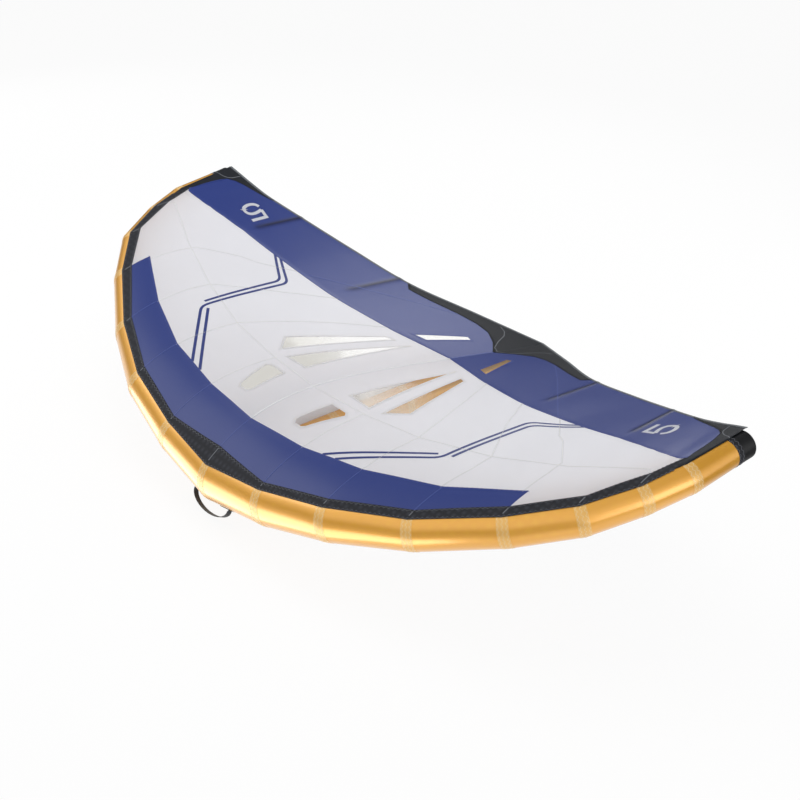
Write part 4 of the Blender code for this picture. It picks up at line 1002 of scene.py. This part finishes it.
facings, spines = {"white": [], "blue": []}, {"white": [], "blue": []}
for side, _ in SIDES:
    for letter in WINDOWS:
        corners = window_corners(letter, side)
        middle = sum(corners, Vector((0, 0))) / len(corners)
        if (corners[1] - corners[0]).cross(middle - corners[0]) < 0:
            corners.reverse()
        grown = []
        for a, b, c in zip([corners[-1], *corners], corners, [*corners[1:], corners[0]]):
            one, two = (b - a).normalized(), (c - b).normalized()
            out = Vector((one.y + two.y, -one.x - two.x)).normalized()
            grown.append(b + out * .004 / max(out.dot(Vector((one.y, -one.x))), .45))
        mesh, spine = ribbon(grown, .012, .0004, around=True)
        cloth = "blue" if letter == "d" else "white"
        facings[cloth].append(mesh)
        spines[cloth].append([*spine, spine[0]])
for cloth, material in (("white", white_ripstop), ("blue", blue_ripstop)):
    piece(cloth + "_window_facings", joined(facings[cloth]), material)
sew("window_stitches", spines["white"], white_thread, "white_cloth")
sew("rear_window_stitches", spines["blue"], blue_thread, "blue_cloth")


# Stripes and numerals
# Blue stripes and a white numeral, the wing's area in square metres, are cut from thin adhesive
# sailcloth and stuck on both halves. Both numerals have their tops towards the middle of the wing.

STRIPES = (((.4836, .2527), (.7950, .5115), (.7985, 1.0124), (.9760, 1.1033)),
           ((.4177, .2463), (.7663, .5296)),
           ((.8217, .5481), (.8292, .9910), (1.0177, 1.0989)))
NUMERAL_MIDDLE = (1.306, 1.182)
NUMERAL = ((.047, .048), (-.042, .048), (-.046, -.002), (-.014, .008), (.015, .010), (.038, .001),
           (.046, -.021), (.038, -.041), (.013, -.051), (-.015, -.051), (-.037, -.042), (-.047, -.025))
STRIPE_WIDTH, STROKE_WIDTH = .0135, .0175
stripes, strokes = [], []
for side, _ in SIDES:
    for line in STRIPES:
        points = [Vector((x * side, y + WING_ZERO.y)) for x, y in line]
        stripes.append(ribbon(eased(points, .035), STRIPE_WIDTH, .0002, .0004)[0])
    x, y = NUMERAL_MIDDLE
    glyph = [Vector((side * (x - v), y + WING_ZERO.y + side * u)) for u, v in NUMERAL]
    strokes += [ribbon(glyph[:3], STROKE_WIDTH, .0002, .0012, .008)[0],
                ribbon(eased(glyph[2:], .014, 4), STROKE_WIDTH, .0002, .0013, .008)[0]]
stripe_blue = ripstop("blue_adhesive_sailcloth", "#2A3776", "#24306A")
piece("blue_stripes", joined(stripes), stripe_blue)
piece("white_numerals", joined(strokes), white_ripstop)


# Tail and tip patches
# Black ripstop takes the loads at the tail and at the tips. The tail patch is of two layers, whose
# inner edge shows as a light curved seam, and a small lobe of the blue band reaches on to each tip.

TAIL_SEAM = ((0, .833), (.05, .842), (.11, .850), (.24, .895), (.35, .945), (.45, .972), (.57, .989))
TIP_SEAM = ((7.95, .06), (7.66, .469), (7.0, .734), (6.69, .835), (6.68, .975))
BLUE_END = ((6.7, .300, .800), (6.74, .370, .745), (6.78, .455, .68), (6.80, .54, .60))
rows, meshes = [], []
for side, _ in SIDES:
    tail = block(0, 2, TAIL_EDGE, REAR, 10, (1, 0), [.03, .06, .09, .16, .2])
    panel("black_tail_patch", side, [tail], tail, black_ripstop, "tail_patch")
    wedge = block(4.8, 6.7, TAIL_EDGE, REAR, 5, (1, 0))
    panel("black_tip_wedge", side, [wedge], wedge, black_ripstop)
    tip, front = block(6.7, 8, TAIL_EDGE, REAR, 5), block(6.7, 8, FRONT, TAIL_EDGE, 14)
    whole = [[*ahead, *behind[1:]] for ahead, behind in zip(front, tip)]
    panel("black_tip_patch", side, [tip, front], whole, black_ripstop, "tip_patch")
    lobe = [[above(station, low + (high - low) * j / 6, LAPPED)[0] for j in range(7)]
            for station, low, high in BLUE_END]
    panel("blue_band_end", side, [lobe], lobe, blue_ripstop)
    meshes += [ribbon([plan(*row, side) for row in TAIL_SEAM], .0035, .0003)[0],
               ribbon(eased([plan(*row, side) for row in TIP_SEAM], .03), .003, .0003)[0]]
    rows += [edge_line(TAIL_EDGE, side, *ends, -.003) for ends in ((0, 2), (4.8, 6.7))]
piece("patch_seams", joined(meshes), seam_black)
sew("patch_stitches", rows, black_thread, "black_cloth")


# Trailing edge hem
# A grey tape folded over the rear edge of the canopy and sewn through, which keeps it from fluttering.

hem_tape = clouded("grey_hem_tape", "#5C6064", "cloth", 500.0, ("#52565A", "#6A6E72"), Roughness=.6)
HEM_SECTION = ((-.004, -.5), (.0055, -.5), (.0085, -.1), (.009, .5), (.0085, 1.1), (.0055, 1.6),
               (-.004, 1.6), (-.004, 1.1), (.005, 1.1), (.0078, .5), (.005, -.05), (-.004, -.05))
rows = []
for side, word in SIDES:
    rings, line = [], []
    for station in stations(0, 8, BATTEN_STOPS):
        ring = []
        for reach, height in HEM_SECTION:
            share = 1 + reach / chord(station)
            normal = canopy_normal(station, min(share, 1))
            ring.append(mirrored(on_canopy(station, share) + normal * CLOTH * height, side))
        rings.append(ring)
        line.append(above(station, 1 - .001 / chord(station), CLOTH * 1.9, side))
    hem = piece("grey_trailing_hem_" + word, closed_skin("hem", rings), hem_tape,
                ["trailing_edge_hem_" + word])
    rows.append(line)
sew("hem_stitches", rows, grey_thread, "grey_hem")


# Battens and their pockets
# Pultruded glass fibre strips in pockets of black cloth, sewn under the rear band, keep the trailing
# edge flat.

def refined(name, node, material, body="root", bevel=0):
    """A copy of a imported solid: points welded, flat faces merged, smooth sides and softened edges."""
    work = bmesh.new()
    work.from_mesh(bpy.data.objects[node].data)
    bmesh.ops.remove_doubles(work, verts=work.verts, dist=.00002)
    bmesh.ops.dissolve_limit(work, angle_limit=math.radians(.5), verts=work.verts, edges=work.edges)
    layer = work.loops.layers.uv.new("cloth")
    for face in work.faces:
        for loop in face.loops:
            loop[layer].uv = loop.vert.co.xy
    mesh = meshed(name, work)
    mesh.shade_smooth()
    mesh.set_sharp_from_angle(angle=math.radians(32))
    made = piece(name, mesh, material, [node], body)
    if bevel:
        soft = made.modifiers.new("softened_edges", "BEVEL")
        soft.width, soft.segments, soft.limit_method = bevel, 2, "ANGLE"
        soft.angle_limit = math.radians(40)
    return made


# Pultruded glass fibre: rovings run the length of the strip, so its tone runs in long streaks.
glass_fibre, tree, shader, spot = new_surface("pultruded_glass_fibre", "#C9CABF", Roughness=.35)
long = add(tree, "Mapping", {"Vector": spot, "Scale": (900, 12, 12)})
finish(shader, ("#B5B7A9", "#DADBD2"), add(tree, "TexNoise", {"Vector": long, "Scale": 1.0}))
for kind in BATTENS:
    for _, word in SIDES:
        refined(f"glass_batten_{kind}_{word}", f"batten_{kind}_{word}", glass_fibre)
        pocket = refined(f"cloth_pocket_{kind}_{word}", f"batten_pocket_{kind}_{word}", black_ripstop)
        low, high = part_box(f"batten_pocket_{kind}_{word}")


# Strut
# The second inflated tube runs from the nose to the tail under the middle of the canopy, of the same
# gold laminate as the leading edge, with taped and sewn seams where its lengths meet.

STRUT_DROP = .087
STRUT_LINE = ((.050, 1), (.150, .98), (.320, .76), (.520, .52), (.720, .41), (.865, .38), (.955, .46),
              (.972, .48))
STRUT_RADII = ((.15, .100), (.52, .092), (.865, .062), (.955, .044), (.972, .044 * .62))


def strut_centre(share):
    drop = STRUT_DROP * between(STRUT_LINE, share)
    return WING_ZERO + Vector((0, share * ROOT_LENGTH, -drop))


def strut_share(y):
    """A place along the centre line as a share of the root length."""
    return (y - WING_ZERO.y) / ROOT_LENGTH


strut_tube = Tube([strut_centre(k) for k, _ in STRUT_LINE],
                  [between(STRUT_RADII, k) for k, _ in STRUT_LINE])
piece("strut_gold_case", tube_skin("strut_case", strut_tube), gold_laminate, ["strut_case"])
tape_seams("strut", strut_tube, range(2, 7))

# The air bladders inside both tubes: welded urethane film, smooth and a little cloudy.
bladder_film = clouded("urethane_bladder_film", "#DDE0E0", "Object", 30.0, ("#D2D6D6", "#E8EAEA"),
                       Roughness=.22)
CASE_WALL, SLACK_GAP = .0012, .0015
inner = (.14, .32, .52, .72, .865, .935)
for name, centres, radii in (("leading_edge", edge_tube.centres, edge_tube.radii),
                             ("strut", [strut_centre(k) for k in inner],
                              [between(STRUT_RADII, k) for k in inner])):
    slack = Tube(centres, [radius - (CASE_WALL + SLACK_GAP) for radius in radii], 0)
    piece(name + "_film_bladder", tube_skin("bladder", slack, 48), bladder_film,
          [name + "_bladder"])


# Web
# A sheet of white cloth stands between the strut and the canopy, sewn to both along their middles.

columns = []
front, rear = JOIN[0].y + .012, on_canopy(0, .818).y
nose = tube_centre(0)
for i in range(61):
    y = front + (rear - front) * i / 60
    share = strut_share(y)
    high = on_canopy(0, share).z - .0003
    reach = tube_radius(0) ** 2 - (y - nose.y) ** 2
    low = strut_centre(share).z + between(STRUT_RADII, share)
    if reach > 0:
        low = max(low, nose.z + math.sqrt(reach))
    low = min(low - .002, high - .002)
    columns.append([Vector((0, y, low + (high - low) * j / 6)) for j in range(7)])
web = stretched("white_strut_web", carrier(1, [columns]), cut_size(columns), white_ripstop,
                ["strut_web"])
web.modifiers["cloth_thickness"].offset = 0


# Tip caps
# A moulded cup closes each end of the leading edge and takes the knocks when a tip touches down. Its
# rim stands against the end of the gold case, under a sewn black tape.

# Glass-filled nylon: dull black, a little cloudy, with the fine spark grain of its mould.
moulded = clouded("moulded_black_nylon", "#121315", "Object", 14.0, ("#0F1012", "#191A1D"), 900.0, .25,
                  .0002, 3.0, Roughness=.40, Specular_IOR_Level=.4)


def turned(name, profile, place, aim, loop=False, sides=64):
    """A closed round solid: a profile of radius and height turned about aim, standing at place."""
    stand = Vector((0, 0, 1)).rotation_difference(aim)
    rows = [[place + stand @ Vector((r * math.cos(a), r * math.sin(a), h)) for a in circle(sides)[:-1]]
            for r, h in profile]
    marks, along = [], 0
    ring = [*profile, profile[0]] if loop else profile
    for (r, h), (q, g) in zip(ring, [ring[0], *ring]):
        along += math.hypot(r - q, h - g)
        marks.append([(profile[0][0] * a, along) for a in circle(sides)])
    return outward(skin(name, rows, marks, loop, True, not loop))


CAP_LENGTH, CAP_ROUND, CAP_WALL = .088, .014, .0012
CAP_TAPE = ((.0001, -.014), (.0007, -.0135), (.0007, 0), (.0007, .0135), (.0001, .014))
tapes, rows = [], []
for side, word in SIDES:
    radius = edge_tube.radii[-1]
    outer, inner = [(.004, CAP_LENGTH)], [(.004, CAP_LENGTH - CAP_WALL)]
    for i in range(9):
        out, rise = math.sin(math.pi * i / 16), math.cos(math.pi * i / 16)
        for edge, bend in ((outer, CAP_ROUND), (inner, CAP_ROUND - CAP_WALL)):
            edge.append((radius - CAP_ROUND + bend * out, CAP_LENGTH - CAP_ROUND + bend * rise))
    profile = [*outer, (radius, .040), (radius, .0003), (radius - CAP_WALL, .0003), *reversed(inner)]
    place, run = mirrored(edge_tube.centres[-1], side), mirrored(edge_tube.runs[-1], side)
    piece("black_tip_cap_" + word, turned("tip_cap", profile, place, run), moulded,
          ["tip_cap_" + word])
    tapes.append(turned("tape", [(radius + lift, along) for lift, along in CAP_TAPE], place, run, True))
    stand = Vector((0, 0, 1)).rotation_difference(run)
    spokes = [stand @ Vector((math.cos(a), math.sin(a), 0)) for a in circle(AROUND)]
    rows += [[(place + run * along + spoke * (radius + .0011), spoke) for spoke in spokes]
             for along in (-.009, .009)]
piece("tip_cap_tapes", joined(tapes), strip_cloth)
sew("tip_cap_stitches", rows, grey_thread, "black_cloth")


# Rigid handles
# Two lacquered carbon tubes under the strut, the front one shorter than the rear one, each in a
# sleeve of ribbed closed-cell foam and held by two brackets of glass-filled nylon.

# Lacquered carbon: a twill of about 4 mm, drawn 25 mm wide to show, under clear lacquer. Foam: fine
# pores, dull, a little uneven in tone.
carbon, tree, shader, spot = new_surface("lacquered_carbon_twill", "#1A1B1D", Roughness=.3,
                                         Coat_Weight=1.0, Coat_Roughness=.06)
twill = add(tree, "TexWave", {"Vector": spot, "Scale": 1 / .004 / 20}, bands_direction="DIAGONAL")
finish(shader, ("#141517", "#2D2F33"), twill.outputs["Fac"])
foam, tree, shader, spot = new_surface("black_closed_cell_foam", "#2A2B2D", Roughness=.8)
cells = add(tree, "TexVoronoi", {"Vector": spot, "Scale": 1400.0})
cloud = add(tree, "TexNoise", {"Vector": spot, "Scale": 35.0})
finish(shader, ("#242527", "#343538"), cloud, cells, .5, .0003)

FOAM_RADIUS, FOAM_BORE, GROOVE, RIB = .0163, .0128, .0008, .010
ROUNDED = ((.0012, 0), (.0004, .0004), (0, .0012))
for word, start, end, level in (("front", -.125, .125, 0), ("rear", .355, .695, .032)):
    refined(word + "_carbon_bar", word + "_handle_bar", carbon)
    half = (end - start) / 2 - .0003
    ribs = round(half * 2 / RIB)
    profile = [(FOAM_RADIUS - dip, half - back) for dip, back in ROUNDED]
    for k in range(1, ribs):
        groove = half - 2 * half * k / ribs
        profile += [(FOAM_RADIUS - dip, groove + off)
                    for dip, off in ((0, .0013), (GROOVE, .0004), (GROOVE, -.0004), (0, -.0013))]
    profile += [(FOAM_RADIUS - dip, back - half) for dip, back in reversed(ROUNDED)]
    profile += [(FOAM_BORE, -half), (FOAM_BORE, half)]
    middle = Vector((0, (start + end) / 2, level))
    mesh = turned("foam_sleeve", profile, middle, Vector((0, 1, 0)), True, 48)
    sleeve = piece(word + "_foam_sleeve", mesh, foam, [word + "_handle_sleeve"])
    for end_word in ("fore", "aft"):
        refined(f"{word}_{end_word}_nylon_bracket", f"{word}_handle_{end_word}_bracket", moulded,
                bevel=.0012)


# Patches under the brackets
# Black cloth doubles the strut's case where each bracket is fixed, sewn round its edge.

PATCH_LENGTH, PATCH_REACH = .150, .86
PATCH_LOW, PATCH_HIGH = .0001, .0005
STRUT_SEAMS = [share for share, _ in STRUT_LINE]


def under(spot, lift):
    """A point off the strut, spot giving its place along the strut and its turn from the top."""
    place, turn = spot
    share = strut_share(place)
    length = max(k for k, seam in enumerate(STRUT_SEAMS[:-1]) if seam <= share)
    t = (share - STRUT_SEAMS[length]) / (STRUT_SEAMS[length + 1] - STRUT_SEAMS[length])
    return strut_tube.point(length, t, turn, lift, False), strut_tube.out(length, turn)


rows = []
for number, middle in enumerate((-.151, .151, .329, .721), 1):
    grid = []
    for i in range(15):
        reach = PATCH_REACH * (1 - .28 * abs(i / 7 - 1) ** 6)
        place = middle + PATCH_LENGTH / 2 * (i / 7 - 1)
        grid.append([(place, math.pi + reach * (j / 12 - 1)) for j in range(25)])
    low = [[under(spot, PATCH_LOW)[0] for spot in row] for row in grid]
    high = [[under(spot, PATCH_HIGH)[0] for spot in reversed(row)] for row in grid]
    patch = piece(f"bracket_patch_{number}", closed_skin("patch", [a + b for a, b in zip(low, high)]),
                  black_ripstop)
    radius = between(STRUT_RADII, strut_share(middle))
    edge = [grid[i][1] for i in range(1, 14)] + [grid[13][j] for j in range(2, 23)]
    edge += [grid[i][23] for i in range(13, 0, -1)] + [grid[1][j] for j in range(22, 0, -1)]
    rows.append([under(spot, PATCH_HIGH + HALF_THREAD) for spot in edge])
sew("bracket_patch_stitches", rows, grey_thread, "black_cloth")


# Nose handle
# A loop of polyester webbing in front of the nose seam, for carrying and for leading the flying wing.
# Each foot is sewn to a patch that is glued and sewn round the case.

# Polyester webbing: ribs of about 2 mm, drawn 22 mm apart to show, with a soft sheen of fibre.
webbing = woven("black_polyester_webbing", "#26272A", "cloth", .0035, ("#1E1F22", "#393A3F"), .6, .0008,
                Roughness=.68, Sheen_Weight=.2, Sheen_Roughness=.5)


def strap(place, along_hinge, out, reach, height, width, thick):
    """An arch of webbing that stands out from its hinge line, its round feet centred on that line."""
    turned_to = Matrix((along_hinge, out.cross(along_hinge), out)).transposed()
    stand = Matrix.Translation(place) @ turned_to.to_4x4()
    foot = width / 2
    route = [(reach, foot * -math.cos(a), foot * math.sin(a), 1, 0)
             for a in [math.pi / 2 * (i + .5) / 6 for i in range(6)]]
    for i in range(25):
        a, rise = math.pi / 2 * i / 24, height - foot
        slope = Vector((rise * math.cos(a), reach * math.sin(a))).normalized()
        route.append((reach * math.cos(a), rise * math.sin(a), foot, *slope))
    route += [(-x, z, half, -out, up) for x, z, half, out, up in reversed(route[:-1])]
    section = ((-1, -.2), (-.96, -.5), (.96, -.5), (1, -.2), (1, .2), (.96, .5), (-.96, .5), (-1, .2))
    rows, marks, along, last = [], [], 0, None
    for x, z, half, out, up in route:
        centre = Vector((x - out * thick / 2, 0, z - up * thick / 2))
        along += (centre - last).length if last else 0
        last = centre
        rows.append([stand @ (centre + Vector((out * b * thick, a * half, up * b * thick)))
                     for a, b in section])
        marks.append([(a * half, along) for a, _ in (*section, section[0])])
    return outward(skin("strap", rows, marks, False, True, True))


ACROSS = Vector((1, 0, 0))
mesh = strap((0, -.6541, .0442), ACROSS, Vector((0, -.4226, -.9063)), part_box("leading_edge_handle")[1][0],
             .068, .025, .003)
piece("nose_webbing_handle", mesh, webbing, ["leading_edge_handle"], "nose_handle")
for _, word in SIDES:
    patch = refined("handle_patch_" + word, "handle_anchor_" + word, strip_cloth)


# Leash loop
# A small loop of the same webbing under the strut, in front of the rear handle, takes the leash.

run = Vector((0, .9984, .0557))
mesh = strap((0, -.224, .0543), run, run.cross(ACROSS).normalized(), .024, .036, .016, .0022)
piece("webbing_leash_loop", mesh, webbing, ["leash_loop"], "leash")


# Valves
# One inflation valve for the leading edge and one for the strut. A black body is welded to the bladder
# and stands out through the case; a blue insert turns in it and holds a silicone flap, under a cap.

# Blue urethane: hard, smooth and satin. Silicone: soft, cloudy and paler than what it seals.
blue_urethane = clouded("blue_urethane", "#2F4F96", "Object", 120.0, ("#2A4788", "#3759A5"), Roughness=.38)
silicone = clouded("clear_grey_silicone", "#CDD0D0", "Object", 150.0, ("#C5C8C8", "#D9DCDC"),
                   Roughness=.45)
HOLE_RADIUS, HOLE_REACH = .0183, .02


def bored(name, place, aim):
    """Cuts the valve's round hole into a case or bladder."""
    made, profile = bpy.data.objects[name], [(HOLE_RADIUS, HOLE_REACH), (HOLE_RADIUS, -HOLE_REACH)]
    drill = placed("drill", turned("drill", profile, place, aim, sides=48))
    hole = made.modifiers.new("valve_hole", "BOOLEAN")
    hole.object, hole.solver, hole.operation = drill, "EXACT", "DIFFERENCE"
    cut = evaluated(made)
    made.modifiers.remove(hole)
    made.data = cut
    bpy.data.objects.remove(drill)


for word, hosts, place, aim in (
        ("nose", ("leading_edge_gold_case", "leading_edge_film_bladder"), (.2161, -.5087, .1051),
         (.0882, .7699, -.6321)),
        ("strut", ("strut_gold_case", "strut_film_bladder"), (-.086, -.3122, .107),
         (-.8663, .0385, -.4980))):
    for host in hosts:
        bored(host, Vector(place), Vector(aim))
    refined(word + "_valve_black_body", word + "_valve_body", moulded, bevel=.0004)
    refined(word + "_valve_blue_insert", word + "_valve_insert", blue_urethane,
            word + "_bayonet", .0003)
    refined(word + "_valve_silicone_flap", word + "_valve_flap", silicone, word + "_bayonet")
    refined(word + "_valve_blue_cap", word + "_valve_cap", blue_urethane, word + "_cap",
            .0004)
